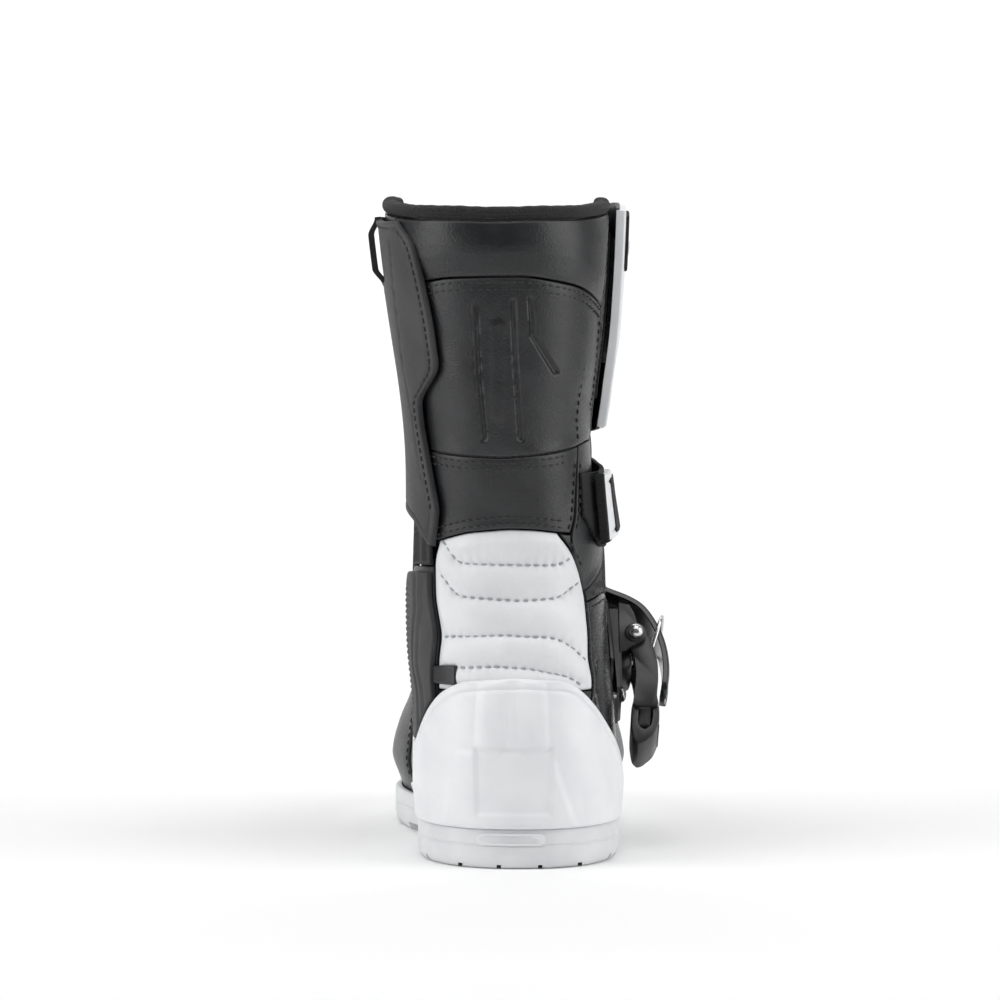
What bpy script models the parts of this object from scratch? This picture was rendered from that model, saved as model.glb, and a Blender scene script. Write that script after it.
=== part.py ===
"""Child's motocross boot, right foot: white cup sole, black upper, buckle and two hook-and-loop closures.

Design units are millimetres. +X is the outer (lateral) side, +Y points to the toe and +Z is up.
The design's own zero is at the back of the heel on the ground; every object is then shifted so
that the world's origin lies under the middle of the boot.

The wall of the upper is one smooth field, a leg column joined to a foot arch. A place on it is
named by (u, z): z is the height, and u runs round the boot from 0 at the back, through 1 and 2
along the lateral side (-1 and -2 on the medial side), to 3 at the front. Panels are patches of
that wall, thickened between two offsets along its normal.
"""
import math

import bmesh
import bpy
import numpy as np
from mathutils import Vector

MM = 0.001
ORIGIN_X = -0.01
ORIGIN_Y = 110.74

# --- driving dimensions of the upper's wall -------------------------------------------------
# height, medial x, lateral x, rear y, front y of the leg column
LEG = [
    (14, -37.5, 37.5, 2.0, 100.0),
    (35, -38.0, 38.0, 2.5, 102.0),
    (60, -38.5, 37.0, 5.0, 106.0),
    (80, -40.5, 35.5, 9.0, 110.0),
    (100, -41.0, 34.0, 12.5, 111.0),
    (120, -40.5, 33.0, 12.0, 109.0),
    (140, -40.0, 30.0, 9.5, 106.5),
    (160, -40.5, 27.8, 6.5, 106.0),
    (180, -42.5, 29.5, 4.0, 106.5),
    (200, -45.5, 32.0, 2.0, 107.5),
    (220, -48.5, 33.5, 0.0, 109.0),
    (240, -51.0, 34.5, -1.5, 112.0),
    (256, -52.5, 35.0, -2.5, 114.0),
]
# distance from the heel, centre x, half width, height of the foot arch
FOOT = [
    (3, 0.0, 1.0, 6.0),
    (8, 0.0, 17.0, 40.0),
    (20, 0.0, 30.0, 56.0),
    (45, 0.0, 34.5, 80.0),
    (70, -0.5, 34.5, 98.0),
    (90, -1.0, 37.0, 106.0),
    (105, -2.0, 40.5, 101.0),
    (120, -3.0, 45.0, 89.5),
    (140, -3.5, 49.0, 77.0),
    (155, -4.0, 49.0, 69.5),
    (170, -4.5, 46.0, 63.0),
    (185, -5.0, 42.0, 57.5),
    (198, -5.0, 36.0, 51.5),
    (208, -5.0, 29.0, 44.0),
    (215, -5.0, 21.5, 35.0),
    (220, -5.0, 12.5, 23.0),
    (222.5, -5.0, 1.5, 6.0),
]
LEG_POWER = 2.3
ARCH_POWER_ACROSS = 2.2
ARCH_POWER_UP = 3.0
BLEND = 8.0
LAST_ROLL = 0.12
ROLL_TOP = 30.0
ROLL_DEPTH = 18.0
HEEL_CENTRE_Y = 45.0
TOE_X = -5.0
# height, y of the centre that the toe's rays fan out from
TOE_CENTRE = [
    (14, 176), (30, 172), (45, 160), (55, 143), (62, 124), (70, 105),
    (77, 93), (86, 80), (97, 69), (110, 63), (130, 61), (256, 66),
]

# --- layers, as offsets from the leather's outer face -----------------------------------------
LEATHER = (-1.3, 0.0)
OVERLAY = (0.7, 2.6)
CUFF_OVERLAY = (1.5, 3.7)
STIFFENER = (-3.7, -2.5)
FOAM = (-3.6, -2.2)
LINING = (-5.8, -4.7)
LOOP_PATCH = (0.5, 1.3)
HOOK_PATCH = (1.7, 2.5)
SEAM = 0.6

# --- sole ------------------------------------------------------------------------------------
SOLE_TOP = 15.0
SOLE_FLOOR = 9.0
UPPER_BOTTOM = 13.6
BOARD = (10.9, 12.9)
SHANK = (9.3, 10.5)
SHANK_HALF = 8.0
SHANK_Y = (48.0, 142.0)
FOOTBED = (13.3, 17.0)
TREAD_DEPTH = 2.6
GROOVE = 2.6
HEEL_GROOVES_Y = (26.0, 44.0, 62.0)
FOREFOOT_GROOVES_Y = (132.0, 149.0, 166.0, 183.0, 200.0)
HEEL_NOTCHES_X = (-22.0, -7.5, 8.0, 23.0)
WAIST_RISE = 3.0
WAIST_Y = (84.0, 116.0)
CUT_REACH = 70.0

# --- closures ----------------------------------------------------------------------------------
ANKLE_AXIS_Y = 60.0
ANKLE_AXIS_Z = 80.0
FLAP_HINGE = (-46.5, 77.7, 206.0)
ANKLE_STRAP_HINGE = (-41.6, 73.0, 145.0)
BUCKLE_TILT = math.radians(36.0)
BUCKLE_PIVOT = (46.0, 76.0, 76.0)
STRAP_HALF = 7.0
BAIL_HALF = 8.3
BAIL_WIRE = 0.8
ARM_HALF = (9.4, 11.6)
EAR_HALF = (12.0, 13.8)
BAIL_PIVOT = (4.0, -14.0)
BAIL_BAR = (10.9, 11.6)


# --- small mathematics -------------------------------------------------------------------------
def curve(table, column):
    """Smooth function through one column of a table whose first column rises."""
    xs = np.array([row[0] for row in table], float)
    ys = np.array([row[column] for row in table], float)
    slopes = np.gradient(ys, xs)

    def value(q):
        q = np.clip(np.asarray(q, float), xs[0], xs[-1])
        i = np.clip(np.searchsorted(xs, q, side="right") - 1, 0, len(xs) - 2)
        step = xs[i + 1] - xs[i]
        t = (q - xs[i]) / step
        return (
            ys[i] * (1 + 2 * t) * (1 - t) ** 2
            + ys[i + 1] * t * t * (3 - 2 * t)
            + slopes[i] * step * t * (1 - t) ** 2
            - slopes[i + 1] * step * t * t * (1 - t)
        )

    return value


def straight(table):
    """Function that joins a table's points with straight lines."""
    xs = [row[0] for row in table]
    ys = [row[1] for row in table]
    return lambda q: np.interp(q, xs, ys)


leg_medial, leg_lateral, leg_rear, leg_front = (curve(LEG, c) for c in (1, 2, 3, 4))
foot_centre, foot_half, foot_top = (curve(FOOT, c) for c in (1, 2, 3))
toe_centre_y = curve(TOE_CENTRE, 1)


def leg_centre_x(z):
    return (leg_medial(z) + leg_lateral(z)) / 2


def toe_centre_x(z):
    """The toe's centre line moves from the foot's own centre to the leg's as z rises."""
    share = np.clip((np.asarray(z, float) - 55) / 50, 0, 1)
    return TOE_X + share * (leg_centre_x(z) - TOE_X)


def smooth_step(t):
    t = np.clip(t, 0, 1)
    return t * t * (3 - 2 * t)


def field(p):
    """Negative inside the upper's wall and positive outside, in about millimetres."""
    x, y, z = p[..., 0], p[..., 1], p[..., 2]
    medial, lateral, rear, front = leg_medial(z), leg_lateral(z), leg_rear(z), leg_front(z)
    across = np.abs(x - (medial + lateral) / 2) / ((lateral - medial) / 2)
    along = np.abs(y - (rear + front) / 2) / ((front - rear) / 2)
    leg = ((across**LEG_POWER + along**LEG_POWER) ** (1 / LEG_POWER) - 1) * 40
    half = foot_half(y) * (1 - LAST_ROLL * smooth_step((ROLL_TOP - z) / ROLL_DEPTH))
    across = np.abs(x - foot_centre(y)) / half
    up = np.maximum(z, 0) / foot_top(y)
    arch = (across**ARCH_POWER_ACROSS + up**ARCH_POWER_UP) ** (1 / ARCH_POWER_ACROSS)
    foot = np.clip((arch - 1) * 35, -60, 60)
    mix = np.clip(0.5 + 0.5 * (foot - leg) / BLEND, 0, 1)
    return foot * (1 - mix) + leg * mix - BLEND * mix * (1 - mix)


def cast(start, direction, reach=110.0):
    """Where rays from inside the wall meet it."""
    near = np.zeros(start.shape[:-1])
    far = near + reach
    for _ in range(34):
        middle = (near + far) / 2
        inside = field(start + direction * middle[..., None]) < 0
        near = np.where(inside, middle, near)
        far = np.where(inside, far, middle)
    return start + direction * ((near + far) / 2)[..., None]


def wall(u, z):
    """The wall's point at (u, z)."""
    u, z = np.broadcast_arrays(np.asarray(u, float), np.asarray(z, float))
    u = (u + 3) % 6 - 3
    size = np.abs(u)
    along = np.clip(size - 1, 0, 1)
    turn = np.radians(90) * (np.clip(size, 0, 1) - 1 + np.clip(size - 2, 0, 1))
    start_y = HEEL_CENTRE_Y + along * (toe_centre_y(z) - HEEL_CENTRE_Y)
    start_x = leg_centre_x(z) + along * (toe_centre_x(z) - leg_centre_x(z))
    start = np.stack([start_x, start_y, z], -1)
    side = np.where(u < 0, -1.0, 1.0)
    direction = np.stack([side * np.cos(turn), np.sin(turn), 0 * z], -1)
    return cast(start, direction)


def normal(p):
    step = 0.4
    slopes = [field(p + step * axis) - field(p - step * axis) for axis in np.eye(3)]
    n = np.stack(slopes, -1)
    return n / np.linalg.norm(n, axis=-1, keepdims=True)


def skin(u, z, offset):
    """A point at an offset from the wall, along the wall's normal."""
    p = wall(u, z)
    return p + normal(p) * np.asarray(offset, float)[..., None]


def u_where(axis, value, z, low, high, samples=49):
    """The u between low and high whose wall point has this x (axis 0) or y (axis 1)."""
    z, value = np.broadcast_arrays(np.asarray(z, float), np.asarray(value, float))
    us = np.linspace(low, high, samples)
    found = wall(us[:, None], z.ravel()[None, :])[..., axis]
    result = np.empty(z.size)
    for k, wanted in enumerate(value.ravel()):
        order = np.argsort(found[:, k])
        result[k] = np.interp(wanted, found[order, k], us[order])
    return result.reshape(z.shape)


def as_function(edge):
    return edge if callable(edge) else lambda q: np.full(np.shape(q), float(edge))


# --- Blender helpers ------------------------------------------------------------------------------
def clear_scene():
    for old in list(bpy.data.objects):
        bpy.data.objects.remove(old, do_unlink=True)


def material(name, colour, roughness, metallic=0.0):
    made = bpy.data.materials.new(name)
    made.use_nodes = True
    shader = made.node_tree.nodes["Principled BSDF"]
    shader.inputs["Base Color"].default_value = (*colour, 1.0)
    shader.inputs["Roughness"].default_value = roughness
    shader.inputs["Metallic"].default_value = metallic
    return made


def place(point):
    """A design point in millimetres as a world point in metres."""
    return Vector(((point[0] - ORIGIN_X) * MM, (point[1] - ORIGIN_Y) * MM, point[2] * MM))


def add_body(name, pivot):
    empty = bpy.data.objects.new(name, None)
    empty.location = place(pivot)
    bpy.context.collection.objects.link(empty)
    return empty


def add_piece(name, points, faces, finish, body, smooth=True):
    """One closed solid, with its faces turned outwards and its origin on its body's pivot."""
    mesh = bpy.data.meshes.new(name)
    pivot = body.location
    mesh.from_pydata([place(p) - pivot for p in points], [], faces)
    work = bmesh.new()
    work.from_mesh(mesh)
    bmesh.ops.recalc_face_normals(work, faces=work.faces)
    work.to_mesh(mesh)
    work.free()
    if smooth:
        mesh.shade_smooth()
        mesh.set_sharp_from_angle(angle=math.radians(40))
    mesh.materials.append(finish)
    piece = bpy.data.objects.new(name, mesh)
    piece.parent = body
    bpy.context.collection.objects.link(piece)
    return piece


def slab_faces(columns, rows, closed):
    """Faces of a slab: an outer grid, an inner grid and the rim between them."""
    count = columns * rows
    last = columns if closed else columns - 1

    def at(layer, i, j):
        return layer * count + (i % columns) * rows + j

    faces = []
    for i in range(last):
        for j in range(rows - 1):
            faces.append((at(0, i, j), at(0, i + 1, j), at(0, i + 1, j + 1), at(0, i, j + 1)))
            faces.append((at(1, i, j), at(1, i, j + 1), at(1, i + 1, j + 1), at(1, i + 1, j)))
        for j in (0, rows - 1):
            faces.append((at(0, i, j), at(1, i, j), at(1, i + 1, j), at(0, i + 1, j)))
    if not closed:
        for i in (0, columns - 1):
            for j in range(rows - 1):
                faces.append((at(0, i, j), at(0, i, j + 1), at(1, i, j + 1), at(1, i, j)))
    return faces


def add_slab(name, outer, inner, finish, body, closed=False):
    columns, rows = outer.shape[:2]
    points = np.concatenate([outer.reshape(-1, 3), inner.reshape(-1, 3)])
    return add_piece(name, points, slab_faces(columns, rows, closed), finish, body)


def patch_grid(u_edges, z_edges, columns, rows):
    """(u, z) of a grid between two side edges u(z) and two level edges z(u)."""
    low_u, high_u = (as_function(e) for e in u_edges)
    low_z, high_z = (as_function(e) for e in z_edges)
    s = np.linspace(0, 1, columns)[:, None]
    t = np.linspace(0, 1, rows)[None, :]
    u = np.broadcast_to(s, (columns, rows)) * 1.0
    z = np.full((columns, rows), float(np.mean(low_z(np.array([0.0])))))
    for _ in range(5):
        u = low_u(z) * (1 - s) + high_u(z) * s
        z = low_z(u) * (1 - t) + high_z(u) * t
    return u, z


def add_panel(name, u_edges, z_edges, layer, columns, rows, finish, body):
    """A patch of the wall between two offsets, which may be functions of u."""
    u, z = patch_grid(u_edges, z_edges, columns, rows)
    inner, outer = (as_function(o)(u) for o in layer)
    return add_slab(name, skin(u, z, outer), skin(u, z, inner), finish, body)


def add_ring(name, z_edges, layer, columns, rows, finish, body):
    """A patch that goes all the way round."""
    low_z, high_z = (as_function(e) for e in z_edges)
    u = np.linspace(-3, 3, columns, endpoint=False)[:, None] * np.ones((1, rows))
    t = np.linspace(0, 1, rows)[None, :]
    z = low_z(u) * (1 - t) + high_z(u) * t
    inner, outer = (as_function(o)(u) for o in layer)
    return add_slab(name, skin(u, z, outer), skin(u, z, inner), finish, body, closed=True)


def loop_solid(name, rings, finish, body):
    """A solid from a stack of closed outlines, capped at both ends."""
    count = len(rings[0])
    points = np.concatenate(rings)
    faces = [tuple(range(count)), tuple(range(len(points) - count, len(points)))]
    for k in range(len(rings) - 1):
        for i in range(count):
            j = (i + 1) % count
            faces.append((k * count + i, k * count + j, (k + 1) * count + j, (k + 1) * count + i))
    return add_piece(name, points, faces, finish, body)


def extrude_outline(name, outline, low, high, to_point, finish, body):
    """A prism: an outline in a plane, pushed from low to high along the plane's normal."""
    rings = [np.array([to_point(a, b, depth) for a, b in outline]) for depth in (low, high)]
    return loop_solid(name, rings, finish, body)


def turned(name, profile, centre, axis, finish, body, sides=16):
    """A round solid: (radius, height) pairs turned about an axis; both ends are capped."""
    axis = Vector(axis).normalized()
    first = axis.orthogonal().normalized()
    second = axis.cross(first)
    rings = []
    for radius, height in profile:
        ring = []
        for k in range(sides):
            a = 2 * math.pi * k / sides
            arm = first * (radius * math.cos(a)) + second * (radius * math.sin(a))
            ring.append(Vector(centre) + axis * height + arm)
        rings.append(np.array(ring))
    return loop_solid(name, rings, finish, body)


def swept(name, path, radius, finish, body, sides=8):
    """A round rod along a path of points, with flat ends."""
    path = [Vector(p) for p in path]
    tangents = []
    for k in range(len(path)):
        before, after = path[max(k - 1, 0)], path[min(k + 1, len(path) - 1)]
        tangents.append((after - before).normalized())
    side = tangents[0].orthogonal().normalized()
    rings = []
    for point, tangent in zip(path, tangents):
        side = (side - tangent * side.dot(tangent)).normalized()
        up = tangent.cross(side)
        angles = [2 * math.pi * k / sides for k in range(sides)]
        ring = [point + side * (radius * math.cos(a)) + up * (radius * math.sin(a)) for a in angles]
        rings.append(np.array(ring))
    return loop_solid(name, rings, finish, body)


def combine(target, tools, operation):
    """Cut or join solids into one with exact Booleans, and keep only the result."""
    for tool in tools:
        change = target.modifiers.new(operation.lower(), "BOOLEAN")
        change.operation = operation
        change.object = tool
        change.solver = "EXACT"
        bpy.context.view_layer.update()
        graph = bpy.context.evaluated_depsgraph_get()
        made = bpy.data.meshes.new_from_object(target.evaluated_get(graph))
        target.modifiers.clear()
        target.data = made
        bpy.data.objects.remove(tool, do_unlink=True)
    return target


# --- edges of the panels ---------------------------------------------------------------------------
FLEX_LATERAL_X = straight([
    (14, 26.5), (60, 26.8), (63, 28.2), (70, 28.6), (77, 27.0), (86, 27.0), (101, 25.6),
    (110, 23.6), (117, 21.2), (122, 17.8), (126, 14.0),
])
FLEX_MEDIAL_X = straight([
    (14, -30.0), (60, -30.6), (72, -31.2), (80, -30.7), (86, -29.8), (100, -32.2),
    (115, -32.4), (122, -30.4),
])
CUFF_REAR_X = straight([
    (96, 24.8), (104, 24.4), (110, 23.2), (117, 20.8), (124, 19.5), (130, 21.5), (165, 23.0),
])
FLEX_TOP = straight([(-0.6, 121.6), (-0.3, 125.2), (0, 126.6), (0.2, 126.2), (0.45, 124.6)])
BAND_TOP = straight([(-0.7, 157.0), (-0.3, 154.6), (0, 153.6), (0.3, 155.2), (0.8, 159.4), (1.4, 161.0)])
CALF_TOP = straight([(-0.7, 217.4), (-0.3, 220.9), (0.15, 221.4), (0.5, 218.0), (0.95, 209.4)])
COLLAR = straight([
    (-3, 250.0), (-2, 249.0), (-1, 246.6), (-0.5, 243.0), (0, 241.6), (0.5, 243.0),
    (1, 246.6), (2, 249.0), (3, 250.0),
])
GUSSET_U = straight([
    (150, 1.32), (165, 1.22), (175, 1.0), (195, 0.90), (212, 0.88), (228, 0.93), (250, 1.0),
])
CUFF_EDGE_X = straight([
    (119.5, -30.6), (134, -28.8), (147, -31.2), (166.5, -34.6), (176, -35.6), (187, -28.8),
    (204.6, -31.2), (220.5, -34.4), (234, -37.8), (243.5, -44.6), (250, -47.0),
])
QUARTER_TOP = straight([
    (-2.6, 97.0), (-2.2, 99.0), (-1.8, 106.0), (-1.4, 111.0), (-0.6, 112.0), (0, 97.0),
    (0.45, 96.6), (1, 101.0), (1.5, 99.5), (2.2, 96.8), (2.6, 96.8),
])
CUFF_BOTTOM = straight([(0.4, 99.4), (0.7, 104.0), (1, 111.4), (1.5, 121.0), (2.0, 128.0)])
COUNTER_TOP = straight([
    (-1.5, 20.0), (-1.36, 25.0), (-1.26, 37.0), (-1.18, 50.5), (-1.08, 46.0), (-1.0, 42.6),
    (-0.85, 45.5), (-0.66, 57.0), (-0.5, 65.0), (-0.33, 69.6), (0, 71.0), (0.33, 69.6),
    (0.45, 64.0), (0.6, 54.0), (0.75, 45.0), (0.9, 34.0), (1.05, 28.0), (1.3, 23.5), (1.5, 20.0),
])
VAMP_Y = straight([(13, 112), (60, 108), (80, 101), (97, 93)])


def flex_lateral_u(z):
    return u_where(0, FLEX_LATERAL_X(z), z, -0.2, 1.0)


def flex_medial_u(z):
    return u_where(0, FLEX_MEDIAL_X(z), z, -1.0, 0.2)


def cuff_rear_u(z):
    return u_where(0, CUFF_REAR_X(z), z, -0.2, 1.0)


def cuff_edge_u(z):
    return u_where(0, CUFF_EDGE_X(z), z, -1.0, 0.2)


def vamp_u(z):
    return u_where(1, VAMP_Y(z), z, 1.0, 3.0)


def shifted(edge, amount):
    return lambda q: as_function(edge)(q) + amount


SEAM_U = 0.012
LEATHER_SPLIT_U = -0.68
TONGUE_U = 1.92
FLAP_ROOT_U = -2.26


# --- soles -------------------------------------------------------------------------------------------
def outline(offset, z=16.0, count=54):
    """The upper's outline at a height, moved outwards by an offset that may depend on y."""
    u = np.linspace(-3, 3, count, endpoint=False)
    p = wall(u, np.full(count, z))
    n = normal(p)
    n[:, 2] = 0
    n /= np.linalg.norm(n, axis=1, keepdims=True)
    moved = p + n * as_function(offset)(p[:, 1])[:, None]
    return moved[:, :2]


def at_level(flat, z):
    level = as_function(z)(flat[:, 1])
    return np.column_stack([flat, level])


def box_points(low, high):
    return [(x, y, z) for x in (low[0], high[0]) for y in (low[1], high[1]) for z in (low[2], high[2])]


BOX_FACES = [(0, 1, 3, 2), (4, 6, 7, 5), (0, 4, 5, 1), (2, 3, 7, 6), (0, 2, 6, 4), (1, 5, 7, 3)]


def add_box(name, low, high, finish, body):
    return add_piece(name, box_points(low, high), BOX_FACES, finish, body, smooth=False)


def edge_width(y):
    """How far the sole stands out from the upper: little at the heel, more at the forefoot."""
    return 1.4 + 1.5 * smooth_step((y - 80) / 50)


def make_outsole(finish, body):
    rings = [
        at_level(outline(lambda y: edge_width(y) - 4.5), 0.0),
        at_level(outline(lambda y: edge_width(y) - 1.2), 2.2),
        at_level(outline(edge_width), 8.0),
        at_level(outline(edge_width), SOLE_TOP),
        at_level(outline(0.4), SOLE_TOP),
        at_level(outline(0.4), SOLE_FLOOR),
    ]
    sole = loop_solid("outsole", rings, finish, body)
    low, high = (-CUT_REACH, WAIST_Y[0], -5), (CUT_REACH, WAIST_Y[1], WAIST_RISE)
    cutters = [add_box("cut", low, high, finish, body)]
    for y in (*HEEL_GROOVES_Y, *FOREFOOT_GROOVES_Y):
        low, high = (-CUT_REACH, y - GROOVE / 2, -5), (CUT_REACH, y + GROOVE / 2, TREAD_DEPTH)
        cutters.append(add_box("cut", low, high, finish, body))
    for x in HEEL_NOTCHES_X:
        low, high = (x - GROOVE / 2, -10, -5), (x + GROOVE / 2, HEEL_GROOVES_Y[0], TREAD_DEPTH)
        cutters.append(add_box("cut", low, high, finish, body))
    return combine(sole, cutters, "DIFFERENCE")


def make_soles(paint, body):
    make_outsole(paint["white"], body)
    board = outline(-0.8, count=36)
    loop_solid("insole_board", [at_level(board, z) for z in BOARD], paint["board"], body)
    bed = outline(-6.8, count=36)
    loop_solid("footbed", [at_level(bed, z) for z in FOOTBED], paint["footbed"], body)
    low, high = (-SHANK_HALF, SHANK_Y[0], SHANK[0]), (SHANK_HALF, SHANK_Y[1], SHANK[1])
    add_box("shank", low, high, paint["steel"], body)


# --- foot pieces ---------------------------------------------------------------------------------------
def make_foot(paint, body):
    black = paint["leather"]
    add_panel("heel_leather", (shifted(flex_medial_u, SEAM_U), shifted(flex_lateral_u, -SEAM_U)),
              (UPPER_BOTTOM, 65.4), LEATHER, 9, 5, black, body)
    add_panel("lateral_quarter", (shifted(flex_lateral_u, SEAM_U), shifted(vamp_u, -SEAM_U)),
              (UPPER_BOTTOM, QUARTER_TOP), LEATHER, 12, 8, black, body)
    add_panel("medial_quarter",
              (lambda z: -vamp_medial_u(z) + SEAM_U, shifted(flex_medial_u, -SEAM_U)),
              (UPPER_BOTTOM, QUARTER_TOP), LEATHER, 12, 8, black, body)
    add_panel("vamp", (shifted(vamp_u, SEAM_U), lambda z: 6 - vamp_medial_u(z) - SEAM_U),
              (UPPER_BOTTOM, 95.8), LEATHER, 23, 9, black, body)
    add_panel("heel_counter", (-COUNTER_END_U, COUNTER_END_U), (OVERLAY_BOTTOM, COUNTER_TOP), OVERLAY,
              31, 5, paint["white"], body)
    add_panel("toe_cap", (TOE_CAP_END_U, 6 - TOE_CAP_END_U), (OVERLAY_BOTTOM, TOE_CAP_TOP), OVERLAY,
              21, 4, paint["white"], body)
    add_panel("medial_guard", (guard_front_u, shifted(flex_medial_u, -SEAM_U)),
              (guard_bottom, GUARD_TOP), OVERLAY, 11, 6, paint["rubber"], body)
    add_panel("heel_stiffener", (-1.15, 1.15), (18.0, 58.0), STIFFENER, 15, 4, paint["board"], body)
    add_panel("toe_puff", (2.0, 4.0), (18.0, 50.0), STIFFENER, 15, 4, paint["board"], body)
    for name, low, high in (("lateral_ankle_pad", 0.9, 1.45), ("medial_ankle_pad", -1.45, -0.9)):
        add_panel(name, (low, high), (64.0, 88.0), FOAM, 6, 4, paint["foam"], body)
    add_ring("foot_lining", (18.0, 90.5), LINING, 32, 7, paint["lining"], body)
    add_ring("ankle_lining", (91.2, 113.4), LINING, 28, 4, paint["lining"], body)
    add_panel("rear_flex_panel", (shifted(flex_medial_u, SEAM_U), shifted(flex_lateral_u, -SEAM_U)),
              (66.0, FLEX_TOP), LEATHER, 9, 7, paint["white_soft"], body)
    add_panel("lateral_flex_gusset", (shifted(flex_lateral_u, SEAM_U), 2.0),
              (shifted(QUARTER_TOP, SEAM), shifted(CUFF_BOTTOM, -SEAM)), LEATHER, 11, 4,
              paint["elastic"], body)
    add_panel("medial_flex_gusset", (-2.2, LEATHER_SPLIT_U - SEAM_U),
              (shifted(QUARTER_TOP, SEAM), 130.6), LEATHER, 11, 4, paint["elastic"], body)
    add_panel("front_flex_panel", (2.03, 3.77), (shifted(FRONT_FOOT_TOP, SEAM), 129.2), LEATHER,
              17, 6, paint["elastic"], body)


OVERLAY_BOTTOM = SOLE_TOP + 1.2
COUNTER_END_U = 1.5
TOE_CAP_END_U = 1.9
TOE_CAP_TOP = straight([
    (1.9, 19.0), (2, 21.5), (2.5, 31.0), (3, 36.0), (3.5, 31.0), (4, 21.5), (4.1, 19.0),
])
GUARD_FRONT_Y = straight([(30, 88.0), (58, 82.0), (72, 68.0), (110, 66.0)])
GUARD_TOP = straight([(-2, 98.0), (-1.7, 104.0), (-1.3, 109.0), (-0.5, 110.0)])
FRONT_FOOT_TOP = straight([
    (1.9, 97.2), (2.2, 97.0), (2.6, 96.6), (3, 95.8), (3.4, 96.6), (3.8, 99.6), (4.2, 104.0),
])


def guard_bottom(u):
    return np.maximum(COUNTER_TOP(u) + 1.4, 30.0)


def guard_front_u(z):
    return u_where(1, GUARD_FRONT_Y(z), z, -3.0, -1.0)


def vamp_medial_u(z):
    """The medial end of the vamp, as a positive u."""
    return -u_where(1, VAMP_Y(z), z, -3.0, -1.0)


# --- shaft pieces ----------------------------------------------------------------------------------------
def make_shaft(paint, body):
    black = paint["leather"]
    add_panel("mid_band_panel", (LEATHER_SPLIT_U + SEAM_U, shifted(cuff_rear_u, -SEAM_U)),
              (shifted(FLEX_TOP, SEAM), shifted(BAND_TOP, -SEAM / 2)), LEATHER, 10, 4, black, body)
    add_panel("calf_panel", (LEATHER_SPLIT_U + SEAM_U, shifted(GUSSET_U, -SEAM_U)),
              (shifted(BAND_TOP, SEAM / 2), shifted(CALF_TOP, -SEAM / 2)), LEATHER, 13, 7, black, body)
    add_panel("collar_panel", (LEATHER_SPLIT_U + SEAM_U, shifted(GUSSET_U, -SEAM_U)),
              (shifted(CALF_TOP, SEAM / 2), COLLAR), LEATHER, 13, 4, black, body)
    add_panel("lateral_cuff_panel", (shifted(cuff_rear_u, SEAM_U), TONGUE_U - SEAM_U),
              (CUFF_BOTTOM, shifted(BAND_TOP, -SEAM / 2)), LEATHER, 11, 6, black, body)
    add_panel("elastic_gusset", (shifted(GUSSET_U, SEAM_U), TONGUE_U - SEAM_U),
              (shifted(BAND_TOP, SEAM / 2), COLLAR), LEATHER, 6, 8, paint["elastic"], body)
    add_panel("medial_shaft_panel", (FLAP_ROOT_U, LEATHER_SPLIT_U - SEAM_U), (131.4, COLLAR),
              LEATHER, 11, 8, black, body)
    add_panel("tongue", (TONGUE_U + SEAM_U, FLAP_ROOT_U + 6 - SEAM_U), (130.0, 251.5), LEATHER,
              13, 8, paint["fabric"], body)
    add_panel("medial_cuff_panel", (-2.15, cuff_edge_u), (MEDIAL_CUFF_BOTTOM, MEDIAL_CUFF_TOP),
              CUFF_OVERLAY, 10, 12, paint["rubber"], body)
    add_panel("collar_binding", (FLAP_ROOT_U + 0.06, TONGUE_U),
              (shifted(COLLAR, 0.6), shifted(COLLAR, 5.4)), (-5.4, 0.6), 25, 2, paint["fabric"], body)
    add_ring("shaft_lining", (114.0, COLLAR), LINING, 28, 8, paint["lining"], body)
    add_panel("collar_foam", (FLAP_ROOT_U + 0.1, TONGUE_U - 0.1), (221.0, shifted(COLLAR, -1.0)),
              FOAM, 17, 3, paint["foam"], body)
    add_panel("calf_foam", (-0.9, 0.85), (132.0, 206.0), FOAM, 9, 5, paint["foam"], body)
    add_panel("strap_loop_patch", (0.55, 1.75), (118.6, 147.6), LOOP_PATCH, 8, 3, paint["hook"], body)
    add_panel("flap_loop_patch", (1.28, 1.85), (176.0, 240.0), LOOP_PATCH, 5, 5, paint["hook"], body)
    make_pull_loop(paint["webbing"], body)


MEDIAL_CUFF_BOTTOM = straight([(-2.2, 134.0), (-1.0, 131.6), (-0.8, 129.0), (-0.6, 119.8)])
MEDIAL_CUFF_TOP = straight([(-2.2, 247.0), (-1.2, 246.0), (-0.85, 243.6), (-0.6, 243.0)])
PULL_LOOP_U = (-1.32, -1.08)
PULL_LOOP_Z = (218.0, 246.0)


def make_pull_loop(finish, body):
    """A webbing loop that stands off the medial cuff, with room for a finger behind it."""
    u = np.linspace(*PULL_LOOP_U, 3)[:, None] * np.ones((1, 13))
    t = np.linspace(0, 1, 13)[None, :] * np.ones((3, 1))
    z = PULL_LOOP_Z[0] + (PULL_LOOP_Z[1] - PULL_LOOP_Z[0]) * t
    lift = 3.8 + 3.2 * smooth_step(np.minimum(t, 1 - t) / 0.22)
    add_slab("pull_loop", skin(u, z, lift + 1.6), skin(u, z, lift), finish, body)


# --- hook-and-loop closures -------------------------------------------------------------------------------
def flap_base(u):
    """The flap lies close at the front and stands off the lateral side, over its patches."""
    return 0.8 + 2.2 * smooth_step((2.6 - np.asarray(u, float)) / 0.9)


def stacked(low, high):
    return (lambda u: flap_base(u) + low, lambda u: flap_base(u) + high)


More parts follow.
